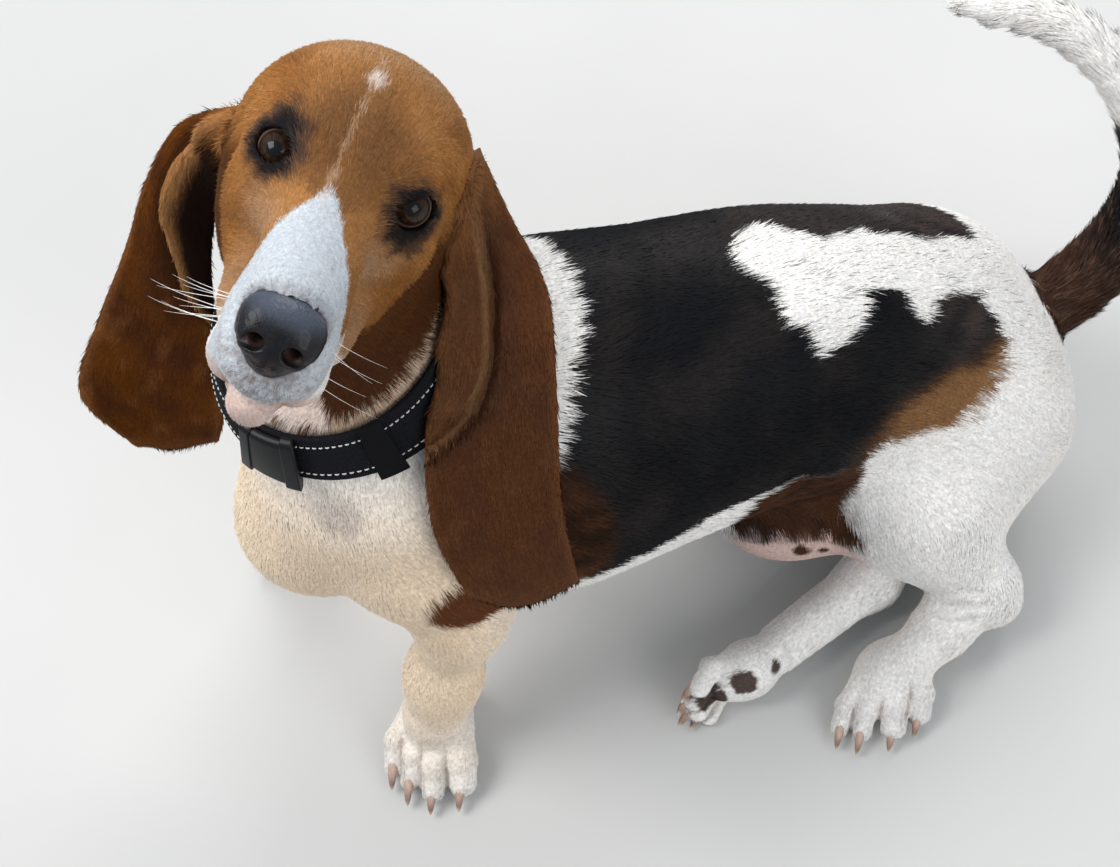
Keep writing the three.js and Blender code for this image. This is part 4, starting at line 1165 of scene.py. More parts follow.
# The lie of the coat: each line sends the hair one way, and near lines count most
def lie_lines():
    lines = [
        (on_head(108, 0, -26), on_head(30, 0, 0), head_axes.way(-1, 0, 0.15)),
        (on_head(20, 0, 4), on_head(-60, 0, 40), head_axes.way(-1, 0, 0.1)),
        (on_head(-60, 0, 40), on_head(-125, 0, 0), head_axes.way(-1, 0, -0.9)),
        (on_head(90, 0, -86), on_head(-30, 0, -90), head_axes.way(-1, 0, 0)),
        (on_head(104, 0, -60), on_head(60, 0, -50), head_axes.way(-1, 0, -0.5)),
    ]
    for s in both:
        lines += [
            (on_head(70, s * 26, -46), on_head(-20, s * 46, -40), head_axes.way(-1, s * 0.35, -0.65)),
            (on_head(-20, s * 44, -6), on_head(-80, s * 50, -20), head_axes.way(-1, s * 0.5, -0.6)),
        ]
    body = [
        ((-150, 76, 385), (-183, 30, 322), (-0.1, -0.45, -0.9)),
        ((-120, 40, 350), (-90, 4, 325), (0.8, -0.3, -0.5)),
        ((-183, 0, 322), (-215, 5, 262), (-0.25, -0.1, -0.95)),
        ((-240, 12, 240), (-262, 12, 170), (0.0, 0, -1)),
        ((-200, 10, 130), (-120, 2, 110), (0.9, 0, -0.3)),
        ((-90, 2, 330), (30, 0, 292), (1, 0, -0.12)),
        ((30, 0, 292), (120, 0, 236), (0.9, 0, -0.4)),
        ((120, 0, 236), (200, 0, 160), (0.8, 0, -0.65)),
        ((-90, 0, 110), (60, 0, 100), (1, 0, 0)),
    ]
    for s in both:
        body += [
            ((-130, s * 88, 290), (-120, s * 90, 190), (0.62, 0.1 * s, -0.8)),
            ((-40, s * 94, 270), (40, s * 88, 240), (0.9, 0, -0.42)),
            ((-60, s * 96, 190), (60, s * 86, 170), (0.85, 0, -0.5)),
            ((130, s * 80, 170), (170, s * 80, 110), (0.6, 0.1 * s, -0.8)),
            ((215, s * 50, 120), (225, s * 50, 50), (0.2, 0.1 * s, -1)),
        ]
    lines += [(vec(*a), vec(*b), vec(*w)) for a, b, w in body]
    for stops in (*fore_stops.values(), *thigh_stops.values(), *shank_stops.values()):
        for (a, _), (b, _) in zip(stops, stops[1:]):
            lines.append((vec(*a), vec(*b), unit(vec(*b) - vec(*a)) * 1.2 + vec(0.15, 0, -0.1)))
    for axes in paw_axes.values():
        lines.append((axes.out(-16, 0, 6), axes.out(30, 0, 0), axes.axes[0] * 1.4))
    for i in range(0, TAIL_STEPS, 2):
        lines.append((tail_line[i], tail_line[i + 2], unit(tail_line[i + 2] - tail_line[i]) * 1.6))
    return lines


LIE = lie_lines()


def swirled(way, P, N, size, seed, share):
    """A lie of the coat turned here and there by smooth noise, and laid flat on the surface."""
    way = way + np.stack([lumps(P, size, seed + m, 2) for m in range(3)], 1) * share
    return units(way - N * (way * N).sum(1)[:, None])


def lie_at(P, N):
    """The way the coat lies at points of the surface."""
    total = np.zeros((len(P), 3))
    for a, b, way in LIE:
        d = length(from_stretch(P, a, b)[1])
        total += way / (d[:, None] + 6) ** 3
    return swirled(units(total), P, N, 70, 20, 0.22)


def scatter(P, T, density, seed):
    """Places spread over a mesh, by area times a density at its points. Gives triangle and weights."""
    made = np.random.default_rng(seed)
    a, b, c = P[T[:, 0]], P[T[:, 1]], P[T[:, 2]]
    area = length(np.cross(b - a, c - a)) / 2
    expected = area * density[T].mean(1)
    run = np.cumsum(expected)
    count = int(run[-1])
    want = (np.arange(count) + made.uniform(0, 1, count)) * run[-1] / count
    t = np.minimum(np.searchsorted(run, want), len(T) - 1)
    u, v = made.uniform(0, 1, (2, count))
    flip = u + v > 1
    u[flip], v[flip] = 1 - u[flip], 1 - v[flip]
    return t, np.stack([1 - u - v, u, v], 1)


def sown(P, T, N, density, seed):
    """Places for tufts spread over a mesh, their normals, and a function that reads values there."""
    t, w = scatter(P, T, density, seed)

    def there(values):
        return np.einsum("ij,ij...->i...", w, values[T[t]])

    return there(P), units(there(N)), there


# The most tufts in one piece, which keeps it under 200,000 triangles; how far under the skin a tuft has its
# root; how low its tip and the rest of it may come to the floor; its size on the map, and the map's share
COAT_LIMIT = 66000
ROOT_DEPTH = 0.55
TIP_CLEAR = 0.3
FLOOR_CLEAR = 0.15
MAP_TUFT = 0.003
MAP_SHARE = 0.995


def tuft_mesh(name, roots, slot, materials, seed):
    """Each tuft is a flat spike of three faces, its root just under the skin, lying along the coat. The
    roots are arrays of places, normals, lies, lengths, widths, lifts, colours and places on the map."""
    P, N, L, size, width, lift, colour, place = roots
    made = np.random.default_rng(seed)
    S = units(np.cross(L, N))
    bend = made.normal(0, 0.16, len(P))[:, None]
    way = units(L + S * bend)
    S = units(np.cross(way, N))
    tip_way = way * np.cos(lift)[:, None] + N * np.sin(lift)[:, None]
    root = P - N * ROOT_DEPTH
    a = root - S * width[:, None] / 2
    b = root + S * width[:, None] / 2
    m = root + N * (0.42 * width + 0.45)[:, None] + way * (size * 0.12)[:, None]
    tip = root + tip_way * size[:, None] + N * 0.15
    tip[:, 2] = np.maximum(tip[:, 2], TIP_CLEAR)
    V = np.stack([a, b, m, tip], 1).reshape(-1, 3)
    V[:, 2] = np.maximum(V[:, 2], FLOOR_CLEAR)
    base = np.arange(len(P))[:, None] * 4
    T = np.stack([base + (0, 2, 3), base + (2, 1, 3), base + (1, 0, 3)], 1).reshape(-1, 3)
    # Each tuft is painted darker at its root and lighter at its tip, less so when pale: painted shade down in
    # the coat and painted light on the tips.
    pale = rise(0.3, 0.6, light_of(colour))
    shade = np.stack([0.70 + 0.2 * pale, 0.70 + 0.2 * pale, 0.95 + 0.04 * pale, 1.14 - 0.1 * pale], 1)
    piece = new_piece(name, V, T, slot, materials, (colour[:, None, :] * shade[:, :, None]).reshape(-1, 3))
    layer = piece.data.uv_layers.new(name="OFBake")
    corner = np.array([(0, 0), (1, 0), (0.5, 0.4), (0.5, 1)]) * MAP_TUFT
    spots = (place[:, None, :] + corner).reshape(-1, 2)
    layer.data.foreach_set("uv", np.clip(spots, 0, 1)[T.ravel()].astype(F).ravel())
    side = np.stack([-S, S, S * 0, S * 0], 1).reshape(-1, 3)
    normals = units(np.repeat(N, 4, axis=0) + 0.22 * side + 0.12 * np.repeat(L, 4, axis=0))
    piece.data.normals_split_custom_set_from_vertices(normals.astype(F))
    return piece


# Materials
def set_values(node, values):
    for name, value in values.items():
        node.inputs[name].default_value = value


def new_node(tree, kind, values, sources):
    """A node with values on some of its inputs, and others joined to the sockets that feed them."""
    made = tree.nodes.new("ShaderNode" + kind)
    set_values(made, values)
    for name, socket in sources.items():
        tree.links.new(socket, made.inputs[name])
    return made


def new_material(name, rough, specular):
    mat = bpy.data.materials.new(name)
    mat.use_nodes = True
    shader = mat.node_tree.nodes["Principled BSDF"]
    set_values(shader, {"Roughness": rough, "Specular IOR Level": specular})
    return mat, mat.node_tree, shader


def texture(tree, kind, **values):
    """A texture in the places of the object itself."""
    space = tree.nodes.new("ShaderNodeTexCoord").outputs["Object"]
    return new_node(tree, "Tex" + kind, values, {"Vector": space})


def noise(tree, scale, detail=4):
    return texture(tree, "Noise", Scale=scale, Detail=detail).outputs["Fac"]


def bump(tree, shader, height, strength, distance):
    """Fine relief on a material, its depth in metres."""
    made = new_node(tree, "Bump", {"Strength": strength, "Distance": distance}, {"Height": height})
    tree.links.new(made.outputs["Normal"], shader.inputs["Normal"])


def painted(tree, shader, low, high, scale):
    """The colour painted on the points, times a fine noise between low and high."""
    colour = tree.nodes.new("ShaderNodeAttribute")
    colour.attribute_name = "coat"
    spans = {"From Min": 0.3, "From Max": 0.7, "To Min": low, "To Max": high}
    spread = new_node(tree, "MapRange", spans, {"Value": noise(tree, scale)})
    times = tree.nodes.new("ShaderNodeVectorMath")
    times.operation = "SCALE"
    tree.links.new(colour.outputs["Color"], times.inputs[0])
    tree.links.new(spread.outputs["Result"], times.inputs["Scale"])
    tree.links.new(times.outputs["Vector"], shader.inputs["Base Color"])


def between(tree, shader, amount, colours, places=(0, 1)):
    """A colour between two, by the amount that a socket gives."""
    ramp = new_node(tree, "ValToRGB", {}, {"Fac": amount})
    for element, colour, place in zip(ramp.color_ramp.elements, colours, places):
        element.color = (*colour, 1)
        element.position = place
    tree.links.new(ramp.outputs["Color"], shader.inputs["Base Color"])


def coat_material(name, rough, sheen, specular):
    mat, tree, shader = new_material(name, rough, specular)
    painted(tree, shader, 0.82, 1.18, 500)
    set_values(shader, {"Sheen Weight": sheen, "Sheen Roughness": 0.5})
    if name == "skin":
        bump(tree, shader, noise(tree, 900, 3), 0.35, 0.0008)
    return mat


coats = {
    name: coat_material(name, *looks)
    for name, looks in {
        "white_coat": (0.75, 0.08, 0.12),
        "black_coat": (0.45, 0.0, 0.09),
        "tan_coat": (0.6, 0.0, 0.04),
        "ear_coat": (0.55, 0.0, 0.03),
        "skin": (0.65, 0.0, 0.05),
    }.items()
}


def plain_material(name, colour, rough, scale=400, low=0.85, high=1.15, bumps=0.0, specular=0.3):
    """One colour broken up by noise, with a fine bump."""
    mat, tree, shader = new_material(name, rough, specular)
    grain = noise(tree, scale)
    between(tree, shader, grain, [[min(1, c * share) for c in colour] for share in (low, high)], (0.3, 0.7))
    if bumps:
        bump(tree, shader, grain, bumps, 0.0002)
    return mat


def gloss_painted(name, rough, coat, coat_rough, bumps=0.0, scale=900, specular=0.2):
    """The painted colour under a clear layer, with bumps the size of pebbles in leather."""
    mat, tree, shader = new_material(name, rough, specular)
    painted(tree, shader, 0.92, 1.08, 900)
    set_values(shader, {"Coat Weight": coat, "Coat Roughness": coat_rough})
    if bumps:
        bump(tree, shader, texture(tree, "Voronoi", Scale=scale).outputs["Distance"], bumps, 0.0006)
    return mat


def together(parts):
    """Several meshes as one."""
    points, faces, count = [], [], 0
    for P, T in parts:
        points.append(P)
        faces.append(T + count)
        count += len(P)
    return np.vstack(points), np.vstack(faces)


# The skin of the body and the ears, darker than the tufts that stand on it
skin_P, skin_T = make_skin()
skin_N = normals_of(skin_P, skin_T)
away = units(slope(flesh, skin_P.astype(F))[1].astype(float))
skin_N = np.where(((skin_N * away).sum(1) < 0.4)[:, None], away, skin_N)
ears = {side: make_ear(side) for side in ("left", "right")}
skin_parts = [(skin_P, skin_T)]
skin_colours = [skin_colour(skin_P)]
for side, (P, T, place, face_side, _) in ears.items():
    skin_parts.append((P, T))
    skin_colours.append(ear_colour(side, P, place, face_side))
SKIN_NODES = (
    "torso", "neck", "head", "foreleg_left", "foreleg_right", "forepaw_left", "forepaw_right",
    "thigh_left", "thigh_right", "shank_left", "shank_right", "hindpaw_left", "hindpaw_right",
    "tail_root", "tail_tip", "ear_left", "ear_right",
)
skin_shade = 0.8 * np.vstack(skin_colours)
new_piece("skin", *together(skin_parts), "white_coat", [coats["skin"]], skin_shade, SKIN_NODES)


# The coat
def longer(line):
    """A line with a straight 40 mm added at each end."""
    line = np.asarray(line, float)
    first = line[0] - 40 * unit(line[1] - line[0])
    last = line[-1] + 40 * unit(line[-1] - line[-2])
    return np.vstack([first, line, last])


LINES = {
    "head": longer([on_head(-130, 0, -10), on_head(110, 0, -44)]),
    "neck": longer([(-150, 72, 390), (-180, 30, 322), (-190, 12, 262)]),
    "torso": longer(MIDLINE),
    "tail": longer(tail_line[::3]),
}
for side in ("left", "right"):
    fore = [p for p, _ in fore_stops[side]]
    LINES["fore_" + side] = longer(fore + [paw_axes["fore_" + side].out(24, 0, 0)])
    hind = [p for p, _ in thigh_stops[side] + shank_stops[side][1:]]
    LINES["hind_" + side] = longer(hind + [paw_axes["hind_" + side].out(24, 0, 0)])


def map_place(P, region):
    """A place on an unwrap round the region's middle line: the angle round it and the way along it."""
    line = LINES[region]
    best = np.full(len(P), 1e9)
    share = np.zeros(len(P))
    angle = np.zeros(len(P))
    n = len(line) - 1
    for i in range(n):
        t, off = from_stretch(P, line[i], line[i + 1])
        d = length(off)
        along = unit(line[i + 1] - line[i])
        ref = unit(np.cross(along, (0.31, 0.9, 0.28)))
        closer = d < best
        best = np.where(closer, d, best)
        share = np.where(closer, (i + t) / n, share)
        turn = np.arctan2(off @ np.cross(along, ref), off @ ref) / (2 * np.pi) + 0.5
        angle = np.where(closer, turn, angle)
    return np.stack([angle, share], 1) * MAP_SHARE


def region_of(P):
    """The part of the coat that each point belongs to. Later lines win."""
    x, y, z = P.T
    names = np.full(len(P), "torso", dtype="<U12")
    foreleg = (x < -112) & (z < 150)
    names[foreleg & (y < 0)] = "fore_left"
    names[foreleg & (y >= 0)] = "fore_right"
    left, right = [on_line(P, LINES["hind_" + side][2:])[0] for side in ("left", "right")]
    names[(left < 56) & (left <= right) & (x > 0) & (z < 150)] = "hind_left"
    names[(right < 52) & (right < left) & (x > -70) & (z < 110)] = "hind_right"
    names[(x > 70) & (z < 190) & (y < -66) & (names == "torso")] = "hind_left"
    low_neck = (P - (-175, 10, 297)) @ unit((-0.45, 0.05, 0.89)) > 0
    names[low_neck & (x < -60)] = "neck"
    names[(above_collar(P) > 0) & (x < 20)] = "head"
    names[(on_line(P, tail_line)[0] < 30) & (x > 240) & (z > 80)] = "tail"
    return names


def coat_at(P, region):
    """Length, width, number per square millimetre and lift in radians of the tufts at each point."""
    coat = np.tile((10.5, 1.15, 0.52, 0.10), (len(P), 1))
    fore = rise(-60, 70, head_axes.into(P)[:, 0])
    low = rise(130, 40, P[:, 2])
    legs = ("fore_left", "fore_right", "hind_left", "hind_right")
    for on, first, change, share in (
        (region == "head", (8, 0.85, 0.95), (-4.4, -0.28, 1.15), fore),
        (np.isin(region, legs), (10, 1.1, 0.58), (-2.5, -0.15, 0.2), low),
    ):
        coat[on, :3] = (first + share[:, None] * change)[on]
    for axes in paw_axes.values():
        close = rise(52, 34, length(P - axes.out(6, 0, 0)))
        coat[:, :3] += ((4.6, 0.72, 1.25) - coat[:, :3]) * close[:, None]
    on = region == "tail"
    coat[on, 0] = 12
    coat[on, 1] = 1.2
    coat[on, 3] = 0.2
    coat[:, :2] += ((3.2, 0.7) - coat[:, :2]) * rise(-0.1, 0.15, groin_share(P))[:, None]
    for s in both:
        close = rise(22, 14, length(P - eye_at(s)))
        coat[:, 0] *= 1 - 0.45 * close
        coat[:, 2] *= 1 + 0.5 * close
    return coat.T


def bare(P, N):
    """How bare the skin is: lids, lips, pads and the floor's side."""
    h = head_axes.into(P)
    bald = [rise(3, 1, P[:, 2]), rise(2.0, 0.6, in_blocks(nose_solid, P))]
    bald.append(rise(2.8, 1.4, mouth_gap(P)) * (h[:, 0] > 0) * (h[:, 2] < -50))
    for s, slit in zip(both, lid_slits):
        bald.append(rise(2.4, 0.9, slit(P.astype(F))) * near(P, eye_at(s), 20))
    for axes in paw_axes.values():
        sole = -(N @ axes.axes[2])
        bald.append(rise(0.45, 0.75, sole) * near(P, axes.out(4, 0, 0), 40))
    return np.max(bald, 0)


def vary(colour, made, n):
    """Each tuft a little lighter or darker, warmer or colder than the markings. Pale tufts vary less."""
    pale = light_of(colour) > 0.4
    value = np.exp(made.normal(0, 1, n) * np.where(pale, 0.035, 0.12))
    warm = made.normal(0, 1, n) * np.where(pale, 0.014, 0.035)
    return np.clip(colour * value[:, None] * np.stack([1 + warm, np.ones(n), 1 - warm], 1), 0, 0.92)


def finish_of(colour):
    """Which coat a tuft's colour asks for: 0 white, 1 black, 2 tan."""
    light = light_of(colour)
    red = colour[:, 0] / np.maximum(colour[:, 2], 1e-4)
    kind = np.zeros(len(colour), np.int32)
    kind[light < 0.2] = 2
    kind[(light < 0.05) & (red < 3)] = 1
    return kind


density_share = 1.0
width_share = 1.0


def grow(region_name, P, T, N, region, seed):
    """The tufts of one region of the skin, in as many pieces as they need."""
    size, width, crowd, lift = coat_at(P, region)
    T = T[(region == region_name)[T].any(1)]
    root, normal, there = sown(P, T, N, crowd * (1 - bare(P, N)) * density_share, seed)
    made = np.random.default_rng(seed + 1)
    lie = lie_at(root, normal)
    n = len(root)
    colour = vary(skin_colour(root + made.normal(0, 0.9, (n, 3))), made, n)
    size = there(size) * made.uniform(0.75, 1.2, n)
    width = there(width) * made.uniform(0.8, 1.2, n) * width_share
    lift = there(lift) * made.uniform(0.4, 1.8, n)
    spots = map_place(root, region_name)
    roots = (root, normal, lie, size, width, lift, colour, spots)
    pieces = -(-n // COAT_LIMIT)
    slot = "tan_coat" if region_name == "head" else "white_coat"
    materials = [coats[kind] for kind in ("white_coat", "black_coat", "tan_coat")]
    order = np.argsort(spots[:, 1], kind="stable")
    for k, which in enumerate(np.array_split(order, pieces)):
        name = f"coat_{region_name}" + (f"_{k + 1}" if pieces > 1 else "")
        piece = tuft_mesh(name, [a[which] for a in roots], slot, materials, seed + 5 + k)
        piece.data.polygons.foreach_set("material_index", np.repeat(finish_of(colour[which]), 3))


skin_region = region_of(skin_P)
for number, name in enumerate(
    ("head", "neck", "torso", "fore_left", "fore_right", "hind_left", "hind_right", "tail")
):
    grow(name, skin_P, skin_T, skin_N, skin_region, 100 + 20 * number)


def grow_ear(side, seed):
    """The tufts of an ear, on both its faces."""
    P, T, place, face_side, lie = ears[side]
    made = np.random.default_rng(seed)
    crowd = np.where(face_side > 0, 0.95, 0.7) * density_share
    crowd = crowd * rise(0.015, 0.05, place[:, 0] + 0.03 * (place[:, 1] > 0.25))
    root, normal, there = sown(P, T, normals_of(P, T), crowd, seed)
    way = swirled(there(lie), root, normal, 50, 30, 0.2)
    n = len(root)
    spot = there(place)
    outer = there(face_side)
    colour = vary(ear_colour(side, root, spot, outer), made, n)
    size = made.uniform(6.0, 9.5, n)
    width = made.uniform(0.7, 1.05, n) * width_share
    lift = 0.09 * made.uniform(0.4, 1.8, n)
    size = size * (1 - 0.45 * rise(0.9, 1.0, spot[:, 0]))
    where = np.stack([spot[:, 1] * 0.49 + np.where(outer > 0, 0, 0.5), spot[:, 0]], 1) * MAP_SHARE
    roots = (root, normal, way, size, width, lift, colour, where)
    tuft_mesh("coat_ear_" + side, roots, "ear_coat", [coats["ear_coat"]], seed + 1)


grow_ear("left", 400)
grow_ear("right", 420)


# Eyes: one ball each, with a clear front that stands a little proud of a brown iris
EYE_TURNS = 72
PUPIL, IRIS, LID_EDGE = 0.34, 0.84, 0.75


def grid_faces(rows, turns):
    """Quads of a grid of rows that close on themselves, as four arrays of corners."""
    i, j = np.meshgrid(np.arange(rows - 1), np.arange(turns), indexing="ij")
    a = (i * turns + j).ravel()
    b = (i * turns + (j + 1) % turns).ravel()
    return a, b, b + turns, a + turns


def make_eye(side, s):
    axes = Axes(eye_at(s), head_axes.way(0.93, s * 0.26, 0.22), gaze(s).axes[1])
    rings = np.concatenate([np.linspace(0, 0.72, 40), np.linspace(LID_EDGE, np.pi, 34)])
    turns = np.linspace(0, 2 * np.pi, EYE_TURNS + 1)[:-1]
    A, B = np.meshgrid(rings, turns, indexing="ij")
    R = EYE_R + 0.55 * rise(0.62, 0.0, A)
    Q = np.stack([R * np.cos(A), R * np.sin(A) * np.cos(B), R * np.sin(A) * np.sin(B)], -1).reshape(-1, 3)
    a, b, c, d = grid_faces(len(rings), EYE_TURNS)
    angle = A.ravel()
    turn = B.ravel()
    fibre = 0.5 + 0.5 * np.sin(turn * 37 + 3 * np.sin(turn * 5)) * np.sin(turn * 17 + 1)
    iris = mix((0.008, 0.004, 0.003), (0.045, 0.021, 0.009), fibre * 0.8)
    iris = mix(iris, (0.010, 0.005, 0.003), rise(0.62, 0.80, angle) * 0.9)
    colour = over((0.003, 0.003, 0.003), iris, angle - PUPIL, 0.05)
    white = mix((0.12, 0.075, 0.060), (0.05, 0.022, 0.018), rise(0.85, 1.2, angle))
    colour = over(colour, white, angle - IRIS, 0.07)
    gloss = gloss_painted(f"eye_{side}", 0.4, 0.36, 0.03, specular=0.03)
    quads = np.stack([a, d, c, b], 1)
    new_piece(f"eyeball_{side}", axes.origin + Q @ axes.axes, quads, "eye", [gloss], colour, [f"eye_{side}"])


make_eye("left", 1)
make_eye("right", -1)


# The nose: damp and finely pebbled, with pinkish brown inside the nostrils
def make_nose():
    middle = on_muzzle(-9, 0, -37)
    step = 0.8
    P, Q = net_of(nose_field, middle - 34, middle + 34, step, 0)
    T = triangles_of(P, Q)
    P = settled(P, nose_field, 0, 2)
    P = evened(P, T, nose_field, 0, 2).astype(float)
    up = head_axes.into(P)[:, 2]
    deep = nose_solid(P.astype(F))
    P = P + normals_of(P, T) * (0.10 * lumps(P, 1.9, 40, 2) * (deep > -1))[:, None]
    c = mix((0.004, 0.004, 0.005), (0.008, 0.007, 0.008), rise(-0.5, 1, lumps(P, 12, 41)))
    # The top of the nose is painted bluish grey, a painted reflection of the sky on the damp leather.
    c = mix(c, (0.060, 0.070, 0.094), 0.85 * rise(-31, -20, up))
    c = mix(c, (0.100, 0.055, 0.040), rise(-2, -5, deep) * 0.6)
    low = 0.7 * rise(-41, -50, up) * rise(-0.4, 0.6, lumps(P, 6, 42))
    c = mix(c, (0.050, 0.030, 0.024), low)
    gloss = gloss_painted("nose", 0.42, 0.22, 0.30, 0.5, 1100, 0.10)
    new_piece("nose_leather", P, T, "nose", [gloss], c, ["nose"])


make_nose()


def tube(line, radii, sides, flat=1.0, up=(0, 0, 1)):
    """A closed round form along a line of points, tapering by radii to a point at its end."""
    line = np.asarray(line, float)
    way = units(np.gradient(line, axis=0))
    side = units(np.cross(way, np.asarray(up, float)))
    top = np.cross(side, way)
    turns = np.arange(sides) * 2 * np.pi / sides
    ring = (
        line[:, None]
        + side[:, None] * (np.cos(turns)[None, :, None] * radii[:, None, None])
        + top[:, None] * (np.sin(turns)[None, :, None] * radii[:, None, None] * flat)
    )
    P = np.vstack([ring.reshape(-1, 3), line[:1], line[-1:]])
    a, b, c, d = grid_faces(len(line), sides)
    k = np.arange(sides)
    end = (len(line) - 1) * sides
    T = [(a, b, c), (a, c, d)]
    T.append((np.full(sides, end + sides), (k + 1) % sides, k))
    T.append((np.full(sides, end + sides + 1), end + k, end + (k + 1) % sides))
    return P, np.vstack([np.stack(corners, 1) for corners in T])


# Claws: one on each toe, curved down, horn that pales towards the root
CLAW_SIDES = 12


def make_claws():
    parts = []
    shares = []
    u = np.linspace(0, 1, 14)
    for name, axes in paw_axes.items():
        size = paw_size[name]
        for i, (reach, side, _) in enumerate(TOES[name]):
            long = CLAW_LENGTH * (1 + 0.06 * math.sin(2.1 * i))
            local = np.stack([reach + 2 + long * u - 1.5 * u**2, side + 0 * u, -3 - 7 * u**2], 1)
            line = axes.origin + size * local @ axes.axes
            line[:, 2] = np.maximum(line[:, 2], 1.4)
            radii = 3.3 * size * (1 - u**1.6) ** 0.7 + 0.25
            P, T = tube(line, radii, CLAW_SIDES, 1.15, axes.axes[2])
            P[:, 2] = np.maximum(P[:, 2], 0.2)
            parts.append((P, T))
            shares.append(np.concatenate([np.repeat(u, CLAW_SIDES), [0, 1]]))
    P, T = together(parts)
    along = np.concatenate(shares)
    c = mix((0.42, 0.29, 0.23), (0.22, 0.14, 0.10), rise(0.2, 0.8, along))
    c = mix(c, (0.50, 0.42, 0.34), rise(0.75, 1.0, along))
    c = c * (1 + 0.12 * lumps(P, 4, 43))[:, None]
    new_piece("claws", P, T, "claw", [gloss_painted("claw", 0.38, 0.2, 0.25)], c)


make_claws()


# Whiskers: thin, tapering, from the sides of the muzzle. The right side has more, longer and thicker ones.
def make_whiskers():
    made = np.random.default_rng(50)
    u = np.linspace(0, 1, 14)[:, None]
    parts = []
    for s, number, size, thick in ((1, 5, 0.7, 0.10), (-1, 11, 1, 0.15)):
        for k in range(number):
            row = k % 4
            P = on_head(made.uniform(62, 88) - 3 * row, s * 24, -42 - 6.5 * row + made.normal(0, 1))
            for _ in range(6):
                d, g = slope(flesh, P[None].astype(F))
                P = P - (d[0] + 1.2) * unit(g[0])
            out = unit(head_axes.way(-0.10 + made.normal(0, 0.12), s, -0.28 + made.normal(0, 0.16)))
            back = unit(head_axes.way(-1.0, s * 0.1, 0.25))
            long = made.uniform(24, 46) * size
            line = P + out * long * u + back * long * 0.4 * u**2 + vec(0, 0, -1) * long * 0.45 * u**2
            parts.append(tube(line, thick * (1 - u[:, 0]) + 0.035, 5))
    hair = plain_material("whisker", (0.80, 0.77, 0.72), 0.35)
    new_piece("whiskers", *together(parts), "whisker", [hair])


make_whiskers()


# The collar: black webbing with two rows of light stitches, a slide and a buckle


def collar_reach(angles, level):
    """How far out the neck reaches, round the collar's middle, at one level of the band."""
    way = np.stack([np.cos(angles), np.sin(angles), 0 * angles], 1)
    r = np.full(len(angles), 110.0)
    for _ in range(60):
        P = collar_axes.out(way * r[:, None] + (0, 0, level))
        d = flesh(P.astype(F)).astype(float)
        r = r - np.where(d < 0.05, 0, d * 0.7)
    return r


COLLAR_TURNS = 360
collar_angles = np.linspace(-np.pi, np.pi, COLLAR_TURNS + 1)
collar_low = collar_reach(collar_angles, -COLLAR_WIDTH / 2)
collar_high = collar_reach(collar_angles, COLLAR_WIDTH / 2)


def on_collar(angle, level, out):
    """A place on the band: out is measured from its inner face."""
    low = np.interp(angle, collar_angles, collar_low)
    high = np.interp(angle, collar_angles, collar_high)
    r = (low + high) / 2 + (high - low) * level / COLLAR_WIDTH + COLLAR_EASE + out
    return collar_axes.out(np.stack([r * np.cos(angle), r * np.sin(angle), level + 0 * r], -1))


def swept(angles, outline, closed):
    """A bar that follows the band, from an outline of (level, out)."""
    n = len(outline)
    P = np.concatenate([on_collar(angles, *spot)[:, None] for spot in outline], 1).reshape(-1, 3)
    m = len(angles)
    i, j = np.meshgrid(np.arange(m if closed else m - 1), np.arange(n), indexing="ij")
    a = (i * n + j).ravel()
    b = (i * n + (j + 1) % n).ravel()
    c = (((i + 1) % m) * n + (j + 1) % n).ravel()
    d = (((i + 1) % m) * n + j).ravel()
    T = [(a, b, c), (a, c, d)]
    if not closed:
        k = np.arange(1, n - 1)
        end = (m - 1) * n
        T += [(0 * k, k + 1, k), (end + 0 * k, end + k, end + k + 1)]
    return P, np.vstack([np.stack(corners, 1) for corners in T])


CORNER_STEPS = 4


def rounded(width, depth, r, base):
    """A box outline with rounded corners, as (level, out)."""
    made = []
    for cx, cy, start in ((1, 1, 0), (-1, 1, 90), (-1, -1, 180), (1, -1, 270)):
        for k in range(CORNER_STEPS + 1):
            a = math.radians(start + 90 * k / CORNER_STEPS)
            level = cx * (width / 2 - r) + r * math.cos(a)
            made.append((level, base + depth / 2 + cy * (depth / 2 - r) + r * math.sin(a)))
    return made


def make_band():
    half = COLLAR_WIDTH / 2
    top = COLLAR_THICK
    outline = [(-half, 0.3), (-half + 0.5, 0)]
    outline += [(level, 0) for level in np.linspace(-half + 2, half - 2, 5)]
    outline += [(half - 0.5, 0), (half, 0.3), (half, top - 0.4), (half - 0.5, top)]
    ribs = np.linspace(half - 1.6, -half + 1.6, 22)
    outline += [(level, top - 0.25 * math.cos(level * 1.9)) for level in ribs]
    outline += [(-half + 0.5, top), (-half, top - 0.4)]
    P, T = swept(collar_angles[:-1], outline, True)
    mat, tree, shader = new_material("webbing", 0.62, 0.04)
    between(tree, shader, noise(tree, 900), ((0.003, 0.003, 0.004), (0.013, 0.013, 0.015)))
    bump(tree, shader, texture(tree, "Wave", Scale=260, Distortion=1.2).outputs["Fac"], 0.5, 0.0004)
    new_piece("webbing", P, T, "webbing", [mat], nodes=["collar_band"])


